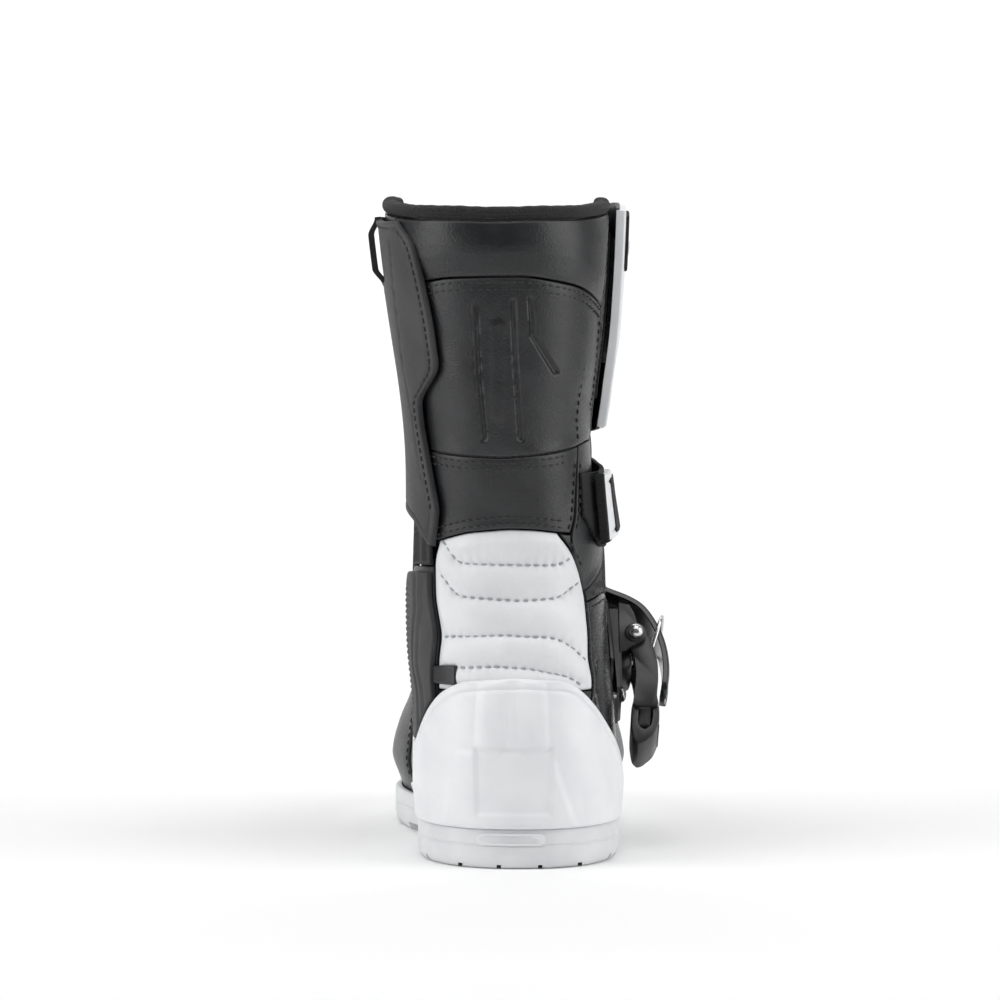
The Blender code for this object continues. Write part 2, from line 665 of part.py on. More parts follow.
FLAP_TOP = straight([(1.2, 249.0), (1.6, 252.0), (3, 253.5), (3.8, 250.0)])
FLAP_BOTTOM = straight([(1.2, 172.0), (1.6, 166.0), (2.2, 163.0), (3.8, 163.0)])
FLAP_EDGE_U = straight([(150, 1.85), (165, 1.66), (180, 1.42), (195, 1.25), (210, 1.19), (255, 1.18)])
FLAP_HINGE_U = 3.76


def make_flap(paint, body):
    add_panel("flap_leather", (FLAP_EDGE_U, FLAP_HINGE_U), (FLAP_BOTTOM, FLAP_TOP),
              stacked(0.0, 1.3), 19, 7, paint["leather"], body)
    add_panel("shin_plate", (shifted(FLAP_EDGE_U, 0.02), 3.6),
              (shifted(FLAP_BOTTOM, 2.0), shifted(FLAP_TOP, -2.0)), stacked(2.0, 4.0), 17, 6,
              paint["white"], body)
    add_panel("flap_hook_patch", (1.36, 1.82), (190.0, 238.0), HOOK_PATCH, 5, 5, paint["hook"], body)
    add_panel("flap_trim", (1.24, 1.62), (shifted(FLAP_TOP, -24.0), shifted(FLAP_TOP, -3.0)),
              stacked(4.4, 5.2), 4, 3, paint["fabric"], body)


def strap_base(u):
    return 0.9 + 2.0 * smooth_step((2.2 - np.asarray(u, float)) / 0.9)


STRAP_LOW = straight([(0.7, 119.6), (2.0, 124.5), (3.0, 131.0), (3.8, 133.0)])
STRAP_HIGH = straight([(0.7, 147.2), (2.0, 151.0), (3.0, 156.5), (3.8, 157.0)])


def make_mid_strap(paint, body):
    add_panel("strap_webbing", (0.80, FLAP_HINGE_U), (STRAP_LOW, STRAP_HIGH),
              (strap_base, lambda u: strap_base(u) + 1.6), 19, 3, paint["webbing"], body)
    add_panel("strap_end_plate", (0.78, 1.42), (shifted(STRAP_LOW, 1.4), shifted(STRAP_HIGH, -1.4)),
              (lambda u: strap_base(u) + 2.1, lambda u: strap_base(u) + 4.3), 6, 3, paint["white"], body)
    add_panel("strap_hook_patch", (0.84, 1.5), (123.0, 145.0), HOOK_PATCH, 5, 3, paint["hook"], body)


# --- instep buckle ----------------------------------------------------------------------------------------
BUCKLE_UP = Vector((0, math.sin(BUCKLE_TILT), math.cos(BUCKLE_TILT)))
BUCKLE_SIDE = Vector((0, math.cos(BUCKLE_TILT), -math.sin(BUCKLE_TILT)))


def buckle_point(out, up, across):
    """A point in the buckle's own directions, from its pivot: outwards, up the strap, across it."""
    return Vector(BUCKLE_PIVOT) + Vector((out, 0, 0)) + BUCKLE_UP * up + BUCKLE_SIDE * across


def wall_out(up, across):
    """How far out the wall lies there, in the buckle's own directions."""
    p = np.array(buckle_point(0, up, across))
    start = np.array([[0.0, p[1], p[2]]])
    hit = cast(start, np.array([[1.0, 0.0, 0.0]]))
    return float(hit[0, 0]) - BUCKLE_PIVOT[0]


def arc_points(centre, radius, start, end, count):
    """Points on an arc in a plane, angles in degrees."""
    angles = [math.radians(start + (end - start) * k / (count - 1)) for k in range(count)]
    return [(centre[0] + radius * math.cos(a), centre[1] + radius * math.sin(a)) for a in angles]


BASE_UP = (-25.0, 11.0)
BASE_FACE = -5.6
PIN_RADIUS = 1.6


def make_base(paint, body):
    """Moulded base: its underside follows the boot, its face is flat, and two ears hold the pin."""
    ups = np.linspace(*BASE_UP, 7)
    across = np.linspace(-EAR_HALF[1], EAR_HALF[1], 5)
    under, face = [], []
    for up in ups:
        under.append([buckle_point(wall_out(up, side) + 1.9, up, side) for side in across])
        face.append([buckle_point(BASE_FACE, up, side) for side in across])
    base = add_slab("buckle_base", np.array(face), np.array(under), paint["plastic"], body)
    ear = [(BASE_FACE - 1.0, -9.0)] + arc_points((0, 0), 4.4, -40, 130, 9) + [(BASE_FACE - 1.0, 9.0)]
    ears = [
        extrude_outline("ear", ear, sign * EAR_HALF[0], sign * EAR_HALF[1], buckle_point,
                        paint["plastic"], body)
        for sign in (1, -1)
    ]
    combine(base, ears, "UNION")
    holes = [rod("hole", PIN_RADIUS + 0.3, (0, 0), 20, paint, body)]
    for up in RIVET_UP:
        holes.append(turned("hole", [(1.9, -8), (1.9, 8)], buckle_point(BASE_FACE, up, 0), (1, 0, 0),
                            paint["plastic"], body, 12))
    combine(base, holes, "DIFFERENCE")


RIVET_UP = (-20.0,)


def rod(name, radius, centre, half, paint, body, sides=16):
    """A straight round rod along the buckle's pivot direction."""
    middle = buckle_point(centre[0], centre[1], 0)
    return turned(name, [(radius, -half), (radius, half)], middle, BUCKLE_SIDE, paint["steel"], body, sides)


def make_fasteners(paint, body):
    head = [(1.4, 17.0), (2.6, 16.5), (3.0, 15.3), (3.0, 14.3), (PIN_RADIUS, 14.1)]
    profile = [(r, h) for r, h in head] + [(r, -h) for r, h in reversed(head)]
    turned("lever_pin", profile, buckle_point(0, 0, 0), BUCKLE_SIDE, paint["steel"], body)
    for up in RIVET_UP:
        out = wall_out(up, 0)
        low = out + 0.5
        dome = [(1.5, low), (1.5, BASE_FACE + 0.3), (3.2, BASE_FACE + 0.4), (3.2, BASE_FACE + 0.9),
                (2.2, BASE_FACE + 1.8), (0.8, BASE_FACE + 2.1)]
        turned("base_rivet", dome, buckle_point(0, up, 0), (1, 0, 0), paint["steel"], body)
    ups = np.linspace(BASE_UP[0] - 2, BASE_UP[1] + 4, 7)
    across = np.linspace(-EAR_HALF[1] - 2.2, EAR_HALF[1] + 1.0, 6)
    outer = np.array([[buckle_point(wall_out(a, b) + 1.6, a, b) for b in across] for a in ups])
    inner = np.array([[buckle_point(wall_out(a, b) + 0.4, a, b) for b in across] for a in ups])
    bridge = add_slab("bridge_plate", outer, inner, paint["aluminium"], body)
    holes = [turned("hole", [(1.9, -12), (1.9, 8)], buckle_point(BASE_FACE, up, 0), (1, 0, 0),
                    paint["steel"], body, 12) for up in RIVET_UP]
    combine(bridge, holes, "DIFFERENCE")
    make_spring(paint, body)


def make_spring(paint, body):
    """Torsion spring round the pin: two turns, one leg on the base and one towards the lever."""
    path = [buckle_point(-4.6, 6.5, -6.0)]
    turns, radius, pitch = 2.25, 2.7, 1.7
    steps = 26
    for k in range(steps + 1):
        angle = math.radians(120) + 2 * math.pi * turns * k / steps
        across = -5.0 + pitch * turns * k / steps
        path.append(buckle_point(radius * math.cos(angle), radius * math.sin(angle), across))
    path.append(buckle_point(-1.0, -7.0, -5.0 + pitch * turns + 0.4))
    swept("lever_spring", path, 0.45, paint["steel"], body, 6)


ARM_OUTLINE = (
    arc_points((0, 0), 4.6, 185, 20, 8)
    + [(7.2, -5.0), (8.6, -12.0), (8.6, -20.0), (7.8, -27.0), (8.6, -32.0)]
    + [(-1.8, -32.0), (-0.8, -26.0), (0.2, -18.0), (-0.6, -9.0)]
)
LOOP_OUTLINE = [
    (-0.8, -26.0), (8.0, -26.0), (8.8, -32.0), (8.6, -38.0), (6.4, -43.5), (2.6, -47.0),
    (0.2, -48.0), (-1.8, -46.0), (-2.6, -39.5), (-2.2, -32.0),
]
WINDOW_OUTLINE = [(0.8, -30.0), (6.0, -30.0), (6.3, -35.0), (5.4, -39.5), (2.8, -41.5), (0.2, -39.5)]
LOOP_HALF = 9.8


def make_lever(paint, body):
    lever = extrude_outline("buckle_lever", LOOP_OUTLINE, -LOOP_HALF, LOOP_HALF, buckle_point,
                            paint["plastic"], body)
    arms = [
        extrude_outline("arm", ARM_OUTLINE, sign * ARM_HALF[0], sign * ARM_HALF[1], buckle_point,
                        paint["plastic"], body)
        for sign in (1, -1)
    ]
    combine(lever, arms, "UNION")
    window = extrude_outline("window", WINDOW_OUTLINE, -20, 20, buckle_point, paint["plastic"], body)
    holes = [window, rod("hole", PIN_RADIUS + 0.3, (0, 0), 20, paint, body),
             rod("hole", BAIL_WIRE + 0.35, BAIL_PIVOT, 20, paint, body, 12)]
    combine(lever, holes, "DIFFERENCE")


def make_bail(paint, body):
    """Wire bail: its ends turn outwards into the lever's arms, its bar lies across the strap."""
    corner = 1.6
    path = []
    for sign in (1, -1):
        ends = [
            (*BAIL_PIVOT, sign * (ARM_HALF[1] - 0.3)),
            (*BAIL_PIVOT, sign * (BAIL_HALF + 0.9)),
            (BAIL_PIVOT[0] + 0.3, BAIL_PIVOT[1] + corner, sign * BAIL_HALF),
            (BAIL_BAR[0] - 0.3, BAIL_BAR[1] - corner, sign * BAIL_HALF),
            (*BAIL_BAR, sign * (BAIL_HALF - corner)),
        ]
        path += ends if sign > 0 else ends[::-1]
    swept("buckle_bail", [buckle_point(*p) for p in path], BAIL_WIRE, paint["steel"], body, 8)


# the strap's centre line over the boot, from its anchor to the buckle
STRAP_ROUTE = [
    # u, z, half width
    (4.46, 70.0, 7.0),
    (4.10, 80.0, 7.5),
    (3.75, 90.0, 8.5),
    (3.50, 99.0, 9.5),
    (3.08, 104.5, 9.5),
    (2.70, 102.0, 9.0),
    (2.35, 96.0, 8.0),
]
# the strap's tail in the buckle's own directions: out, up
TAIL = [(2.6, 15.0), (6.2, 9.0), (9.2, 1.0), (10.6, -7.0), (10.7, -14.0), (9.9, -20.0), (9.3, -23.0)]
STRAP_THICK = 2.6
STRAP_CLEARANCE = 1.0
ANCHOR_PAD = (0.4, 0.8)


def strap_centre_line():
    """Points on the strap's inner face: first over the boot, then down the tail."""
    line = []
    for u, z, half in STRAP_ROUTE:
        line.append((Vector(skin(u, z, STRAP_CLEARANCE)), half))
    for out, up in TAIL:
        line.append((buckle_point(out, up, 0), STRAP_HALF))
    return line


def resample(line, count):
    """Evenly spaced points and half widths on a smooth curve through the centre line's points."""
    points = np.array([p for p, _ in line])
    halves = np.array([h for _, h in line])
    length = np.concatenate([[0], np.cumsum(np.linalg.norm(np.diff(points, axis=0), axis=1))])
    table = np.column_stack([length, points, halves])
    s = np.linspace(0, length[-1], count)
    return np.column_stack([curve(table, c)(s) for c in (1, 2, 3, 4)])


def strap_frames(count=30):
    """Centre, width direction, outward direction and half width along the strap."""
    line = strap_centre_line()
    smooth = resample(line, count)
    points, halves = smooth[:, :3], smooth[:, 3]
    tangents = np.gradient(points, axis=0)
    tangents /= np.linalg.norm(tangents, axis=1, keepdims=True)
    frames = []
    side_at_tail = np.array(BUCKLE_SIDE)
    for k in range(count):
        p, t = points[k], tangents[k]
        outward = normal(p)
        share = smooth_step((k / (count - 1) - 0.52) / 0.2)
        width = np.cross(outward, t)
        width /= np.linalg.norm(width)
        if width @ side_at_tail < 0:
            width = -width
        width = width * (1 - share) + side_at_tail * share
        width -= t * (width @ t)
        width /= np.linalg.norm(width)
        out = np.cross(t, width)
        if out @ outward < 0:
            out = -out
        frames.append((clear_of_wall(p, width, out, halves[k]), width, out, halves[k]))
    return frames


def clear_of_wall(p, width, out, half):
    """The strap's centre, moved out until its whole width clears the boot."""
    across = np.linspace(-half, half, 7)[:, None] * width
    while field(p + across).min() < STRAP_CLEARANCE:
        p = p + out * 0.1
    return p


def make_strap(paint, body):
    rings = []
    for p, width, out, half in strap_frames():
        rings.append(np.array([
            p - width * half, p + width * half,
            p + width * half + out * STRAP_THICK, p - width * half + out * STRAP_THICK,
        ]))
    loop_solid("ladder_strap", rings, paint["plastic"], body)


def make_anchor(paint, body):
    """The pad under the strap's fixed end, on the medial quarter."""
    add_panel("strap_anchor", (4.38, 4.50), (66.0, 73.0), ANCHOR_PAD, 3, 3, paint["plastic"], body)


# --- assembly ----------------------------------------------------------------------------------------------
def make_paint():
    return {
        "leather": material("black_synthetic_leather", (0.035, 0.036, 0.040), 0.42),
        "rubber": material("grey_black_rubber", (0.080, 0.080, 0.083), 0.55),
        "white": material("white_polyurethane", (0.80, 0.82, 0.84), 0.38),
        "white_soft": material("white_quilted_leather", (0.72, 0.73, 0.74), 0.45),
        "elastic": material("black_elastic", (0.010, 0.010, 0.012), 0.85),
        "fabric": material("black_knit", (0.014, 0.014, 0.016), 0.9),
        "hook": material("black_hook_and_loop", (0.008, 0.008, 0.010), 0.95),
        "webbing": material("black_webbing", (0.012, 0.012, 0.013), 0.8),
        "plastic": material("black_moulded_plastic", (0.045, 0.045, 0.048), 0.4),
        "steel": material("steel", (0.62, 0.62, 0.62), 0.25, 1.0),
        "aluminium": material("aluminium", (0.72, 0.73, 0.74), 0.35, 1.0),
        "board": material("insole_board", (0.35, 0.27, 0.18), 0.9),
        "footbed": material("footbed_foam", (0.06, 0.06, 0.065), 0.95),
        "foam": material("padding_foam", (0.10, 0.10, 0.11), 1.0),
        "lining": material("black_lining", (0.02, 0.02, 0.022), 0.95),
    }


def main():
    clear_scene()
    paint = make_paint()
    foot = add_body("foot_frame", (0, 0, 0))
    shaft = add_body("shaft_frame", (0, ANKLE_AXIS_Y, ANKLE_AXIS_Z))
    flap = add_body("flap_frame", FLAP_HINGE)
    strap = add_body("mid_strap_frame", ANKLE_STRAP_HINGE)
    lever = add_body("lever_frame", BUCKLE_PIVOT)
    bail = add_body("bail_frame", buckle_point(*BAIL_PIVOT, 0))
    instep = add_body("instep_strap_frame", strap_frames()[0][0])
    make_soles(paint, foot)
    make_foot(paint, foot)
    make_shaft(paint, shaft)
    make_flap(paint, flap)
    make_mid_strap(paint, strap)
    make_base(paint, foot)
    make_fasteners(paint, foot)
    make_lever(paint, lever)
    make_bail(paint, bail)
    make_strap(paint, instep)
    make_anchor(paint, foot)


main()
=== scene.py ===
"""The looks of the child's motocross boot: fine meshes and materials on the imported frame.

Lengths below are millimetres in the design's own axes: x from the heel's middle to the outer side,
y from the back of the heel to the toe, z up from the ground. to_world() turns them into the frame.
"""
import math

import bmesh
import bpy
import numpy as np
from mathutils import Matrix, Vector


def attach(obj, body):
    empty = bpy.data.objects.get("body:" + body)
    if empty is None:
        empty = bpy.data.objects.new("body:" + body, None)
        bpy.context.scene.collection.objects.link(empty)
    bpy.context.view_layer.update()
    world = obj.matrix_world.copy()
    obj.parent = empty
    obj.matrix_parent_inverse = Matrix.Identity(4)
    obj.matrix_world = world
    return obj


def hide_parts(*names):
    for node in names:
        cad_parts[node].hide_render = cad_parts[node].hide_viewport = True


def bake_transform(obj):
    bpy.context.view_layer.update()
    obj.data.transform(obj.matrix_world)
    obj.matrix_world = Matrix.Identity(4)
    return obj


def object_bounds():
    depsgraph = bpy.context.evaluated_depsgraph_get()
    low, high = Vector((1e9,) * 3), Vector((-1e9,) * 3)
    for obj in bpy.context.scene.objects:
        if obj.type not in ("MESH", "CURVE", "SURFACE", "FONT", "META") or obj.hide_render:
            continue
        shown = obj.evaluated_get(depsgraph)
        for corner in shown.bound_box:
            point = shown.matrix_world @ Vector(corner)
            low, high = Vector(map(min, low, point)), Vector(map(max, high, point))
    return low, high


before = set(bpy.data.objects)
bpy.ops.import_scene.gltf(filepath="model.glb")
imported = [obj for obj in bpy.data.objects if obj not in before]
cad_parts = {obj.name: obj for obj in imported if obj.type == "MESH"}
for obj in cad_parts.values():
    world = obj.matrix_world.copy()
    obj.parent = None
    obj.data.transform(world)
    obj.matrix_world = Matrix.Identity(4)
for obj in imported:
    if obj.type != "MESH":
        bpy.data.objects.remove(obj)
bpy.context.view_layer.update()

ORIGIN = np.array([-0.01, 110.74, 0.0])
MM = 0.001


def to_world(points):
    return (np.asarray(points, float) - ORIGIN) * MM


# --- the wall of the upper, as in the CAD ------------------------------------------------------
LEG = [
    (14, -37.5, 37.5, 2.0, 100.0), (35, -38.0, 38.0, 2.5, 102.0), (60, -38.5, 37.0, 5.0, 106.0),
    (80, -40.5, 35.5, 9.0, 110.0), (100, -41.0, 34.0, 12.5, 111.0), (120, -40.5, 33.0, 12.0, 109.0),
    (140, -40.0, 30.0, 9.5, 106.5), (160, -40.5, 27.8, 6.5, 106.0), (180, -42.5, 29.5, 4.0, 106.5),
    (200, -45.5, 32.0, 2.0, 107.5), (220, -48.5, 33.5, 0.0, 109.0), (240, -51.0, 34.5, -1.5, 112.0),
    (256, -52.5, 35.0, -2.5, 114.0),
]
FOOT = [
    (3, 0.0, 1.0, 6.0), (8, 0.0, 17.0, 40.0), (20, 0.0, 30.0, 56.0), (45, 0.0, 34.5, 80.0),
    (70, -0.5, 34.5, 98.0), (90, -1.0, 37.0, 106.0), (105, -2.0, 40.5, 101.0), (120, -3.0, 45.0, 89.5),
    (140, -3.5, 49.0, 77.0), (155, -4.0, 49.0, 69.5), (170, -4.5, 46.0, 63.0), (185, -5.0, 42.0, 57.5),
    (198, -5.0, 36.0, 51.5), (208, -5.0, 29.0, 44.0), (215, -5.0, 21.5, 35.0), (220, -5.0, 12.5, 23.0),
    (222.5, -5.0, 1.5, 6.0),
]
TOE_CENTRE = [
    (14, 176), (30, 172), (45, 160), (55, 143), (62, 124), (70, 105),
    (77, 93), (86, 80), (97, 69), (110, 63), (130, 61), (256, 66),
]
LEG_POWER, ARCH_POWER_ACROSS, ARCH_POWER_UP = 2.3, 2.2, 3.0
BLEND, LAST_ROLL, ROLL_TOP, ROLL_DEPTH = 8.0, 0.12, 30.0, 18.0
HEEL_CENTRE_Y, TOE_X = 45.0, -5.0


def curve(table, column):
    xs = np.array([row[0] for row in table], float)
    ys = np.array([row[column] for row in table], float)
    slopes = np.gradient(ys, xs)

    def value(q):
        q = np.clip(np.asarray(q, float), xs[0], xs[-1])
        i = np.clip(np.searchsorted(xs, q, side="right") - 1, 0, len(xs) - 2)
        step = xs[i + 1] - xs[i]
        t = (q - xs[i]) / step
        return (ys[i] * (1 + 2 * t) * (1 - t) ** 2 + ys[i + 1] * t * t * (3 - 2 * t)
                + slopes[i] * step * t * (1 - t) ** 2 - slopes[i + 1] * step * t * t * (1 - t))

    return value


def straight(table):
    """A line through the table's points with its corners rounded."""
    xs, ys = np.array(table, float).T
    soft = 0.09 if np.abs(xs).max() < 8 else 4.5
    steps = np.linspace(-1, 1, 9)
    shares = (1.1 - np.abs(steps)) / (1.1 - np.abs(steps)).sum()
    return lambda q: sum(w * np.interp(np.asarray(q, float) + t * soft, xs, ys) for t, w in zip(steps, shares))


leg_medial, leg_lateral, leg_rear, leg_front = (curve(LEG, c) for c in (1, 2, 3, 4))
foot_centre, foot_half, foot_top = (curve(FOOT, c) for c in (1, 2, 3))
toe_centre_y = curve(TOE_CENTRE, 1)


def leg_centre_x(z):
    return (leg_medial(z) + leg_lateral(z)) / 2


def toe_centre_x(z):
    share = np.clip((np.asarray(z, float) - 55) / 50, 0, 1)
    return TOE_X + share * (leg_centre_x(z) - TOE_X)


def smooth_step(t):
    t = np.clip(t, 0, 1)
    return t * t * (3 - 2 * t)


def field(p):
    """Negative inside the upper's wall and positive outside."""
    x, y, z = p[..., 0], p[..., 1], p[..., 2]
    medial, lateral, rear, front = leg_medial(z), leg_lateral(z), leg_rear(z), leg_front(z)
    across = np.abs(x - (medial + lateral) / 2) / ((lateral - medial) / 2)
    along = np.abs(y - (rear + front) / 2) / ((front - rear) / 2)
    leg = ((across**LEG_POWER + along**LEG_POWER) ** (1 / LEG_POWER) - 1) * 40
    half = foot_half(y) * (1 - LAST_ROLL * smooth_step((ROLL_TOP - z) / ROLL_DEPTH))
    across = np.abs(x - foot_centre(y)) / half
    up = np.maximum(z, 0) / foot_top(y)
    arch = (across**ARCH_POWER_ACROSS + up**ARCH_POWER_UP) ** (1 / ARCH_POWER_ACROSS)
    foot = np.clip((arch - 1) * 35, -60, 60)
    mix = np.clip(0.5 + 0.5 * (foot - leg) / BLEND, 0, 1)
    return foot * (1 - mix) + leg * mix - BLEND * mix * (1 - mix)


def cast(start, direction, reach=110.0):
    near = np.zeros(start.shape[:-1])
    far = near + reach
    for _ in range(22):
        middle = (near + far) / 2
        inside = field(start + direction * middle[..., None]) < 0
        near = np.where(inside, middle, near)
        far = np.where(inside, far, middle)
    return start + direction * ((near + far) / 2)[..., None]


def wall(u, z):
    """The wall's point at (u, z): u is 0 at the back, 1 and 2 on the outer side, 3 at the front."""
    u, z = np.broadcast_arrays(np.asarray(u, float), np.asarray(z, float))
    u = (u + 3) % 6 - 3
    size = np.abs(u)
    along = np.clip(size - 1, 0, 1)
    turn = np.radians(90) * (np.clip(size, 0, 1) - 1 + np.clip(size - 2, 0, 1))
    start_y = HEEL_CENTRE_Y + along * (toe_centre_y(z) - HEEL_CENTRE_Y)
    start_x = leg_centre_x(z) + along * (toe_centre_x(z) - leg_centre_x(z))
    side = np.where(u < 0, -1.0, 1.0)
    direction = np.stack([side * np.cos(turn), np.sin(turn), 0 * z], -1)
    return cast(np.stack([start_x, start_y, z], -1), direction)


def normal(p):
    slopes = [field(p + 0.4 * axis) - field(p - 0.4 * axis) for axis in np.eye(3)]
    n = np.stack(slopes, -1)
    return n / np.linalg.norm(n, axis=-1, keepdims=True)


def skin(u, z, offset):
    p = wall(u, z)
    return p + normal(p) * np.asarray(offset, float)[..., None]


def u_where(axis, value, z, low, high):
    """The u between low and high whose wall point has this x (axis 0) or y (axis 1)."""
    z, value = np.broadcast_arrays(np.asarray(z, float), np.asarray(value, float))
    levels = np.unique(np.round(z, 2))
    us = np.linspace(low, high, 49)
    rows = wall(us[:, None], levels[None, :])[..., axis]
    flat_z, flat_v = z.ravel(), value.ravel()
    column = np.searchsorted(levels, np.round(flat_z, 2))
    result = np.empty(flat_z.size)
    for k in range(flat_z.size):
        found = rows[:, column[k]]
        order = np.argsort(found)
        result[k] = np.interp(flat_v[k], found[order], us[order])
    return result.reshape(z.shape)


def edge_of(table, low, high, axis=0):
    """A side edge u(z), from a table of (z, x), worked out once on a fine ladder of heights."""
    zs = np.linspace(12, 256, 245)
    us = u_where(axis, straight(table)(zs), zs, low, high)
    return lambda z: np.interp(z, zs, us)


def as_function(edge):
    return edge if callable(edge) else lambda q: np.full(np.shape(q), float(edge))


def shifted(edge, amount):
    return lambda q: as_function(edge)(q) + amount


# --- edges of the panels, as in the CAD ------------------------------------------------------------
SEAM, SEAM_U, SPLIT_U, TONGUE_U, FLAP_ROOT_U, FLAP_HINGE_U = 0.6, 0.012, -0.68, 1.92, -2.26, 3.76
SOLE_TOP, SOLE_FLOOR, UPPER_BOTTOM, OVERLAY_BOTTOM = 15.0, 9.0, 13.6, 15.1
flex_lateral_u = edge_of([
    (14, 26.5), (60, 26.8), (63, 28.2), (70, 28.6), (77, 27.0), (86, 27.0), (101, 25.6),
    (110, 23.6), (117, 21.2), (122, 17.8), (126, 14.0)], -0.2, 1.0)
flex_medial_u = edge_of([
    (14, -30.0), (60, -30.6), (72, -31.2), (80, -30.7), (86, -29.8), (100, -32.2),
    (115, -32.4), (122, -30.4)], -1.0, 0.2)
cuff_rear_u = edge_of([
    (96, 24.8), (104, 24.4), (110, 23.2), (117, 20.8), (124, 19.5), (130, 21.5), (165, 23.0)], -0.2, 1.0)
cuff_edge_u = edge_of([
    (119.5, -30.6), (134, -28.8), (147, -31.2), (166.5, -34.6), (176, -35.6), (187, -28.8),
    (204.6, -31.2), (220.5, -34.4), (234, -37.8), (243.5, -44.6), (250, -47.0)], -1.0, 0.2)
VAMP_Y = [(13, 112), (60, 108), (80, 101), (97, 93)]
vamp_u = edge_of(VAMP_Y, 1.0, 3.0, 1)
vamp_medial = edge_of(VAMP_Y, -3.0, -1.0, 1)
guard_front_u = edge_of([(30, 88.0), (58, 82.0), (72, 68.0), (110, 66.0)], -3.0, -1.0, 1)
FLEX_TOP = straight([(-0.6, 121.6), (-0.3, 125.2), (0, 126.6), (0.2, 126.2), (0.45, 124.6)])
BAND_TOP = straight([(-0.7, 157.0), (-0.3, 154.6), (0, 153.6), (0.3, 155.2), (0.8, 159.4), (1.4, 161.0)])
CALF_TOP = straight([(-0.7, 217.4), (-0.3, 220.9), (0.15, 221.4), (0.5, 218.0), (0.95, 209.4)])
COLLAR = straight([
    (-3, 250.0), (-2, 249.0), (-1, 246.6), (-0.5, 243.0), (0, 241.6), (0.5, 243.0),
    (1, 246.6), (2, 249.0), (3, 250.0)])
GUSSET_U = straight([
    (150, 1.32), (165, 1.22), (175, 1.0), (195, 0.90), (212, 0.88), (228, 0.93), (250, 1.0)])
QUARTER_TOP = straight([
    (-2.6, 97.0), (-2.2, 99.0), (-1.8, 106.0), (-1.4, 111.0), (-0.6, 112.0), (0, 97.0),
    (0.45, 96.6), (1, 101.0), (1.5, 99.5), (2.2, 96.8), (2.6, 96.8)])
CUFF_BOTTOM = straight([(0.4, 99.4), (0.7, 104.0), (1, 111.4), (1.5, 121.0), (2.0, 128.0)])
COUNTER_TOP = straight([
    (-1.5, 20.0), (-1.36, 25.0), (-1.26, 37.0), (-1.18, 50.5), (-1.08, 46.0), (-1.0, 42.6),
    (-0.85, 45.5), (-0.66, 57.0), (-0.5, 65.0), (-0.33, 69.6), (0, 71.0), (0.33, 69.6),
    (0.45, 64.0), (0.6, 54.0), (0.75, 45.0), (0.9, 34.0), (1.05, 28.0), (1.3, 23.5), (1.5, 20.0)])
TOE_CAP_TOP = straight([
    (1.9, 19.0), (2, 21.5), (2.5, 31.0), (3, 36.0), (3.5, 31.0), (4, 21.5), (4.1, 19.0)])
GUARD_TOP = straight([(-2, 98.0), (-1.7, 104.0), (-1.3, 109.0), (-0.5, 110.0)])
FRONT_FOOT_TOP = straight([
    (1.9, 97.2), (2.2, 97.0), (2.6, 96.6), (3, 95.8), (3.4, 96.6), (3.8, 99.6), (4.2, 104.0)])
MEDIAL_CUFF_BOTTOM = straight([(-2.2, 134.0), (-1.0, 131.6), (-0.8, 129.0), (-0.6, 119.8)])
MEDIAL_CUFF_TOP = straight([(-2.2, 247.0), (-1.2, 246.0), (-0.85, 243.6), (-0.6, 243.0)])
FLAP_TOP = straight([(1.2, 249.0), (1.6, 252.0), (3, 253.5), (3.8, 250.0)])
FLAP_BOTTOM = straight([(1.2, 172.0), (1.6, 166.0), (2.2, 163.0), (3.8, 163.0)])
FLAP_EDGE_U = straight([(150, 2.1), (165, 1.92), (180, 1.62), (195, 1.34), (210, 1.20), (255, 1.18)])
STRAP_LOW = straight([(0.7, 119.6), (2.0, 124.5), (3.0, 131.0), (3.8, 133.0)])
STRAP_HIGH = straight([(0.7, 147.2), (2.0, 151.0), (3.0, 156.5), (3.8, 157.0)])


def flap_base(u):
    return 0.8 + 2.2 * smooth_step((2.6 - np.asarray(u, float)) / 0.9)


def strap_base(u):
    return 0.9 + 2.0 * smooth_step((2.2 - np.asarray(u, float)) / 0.9)


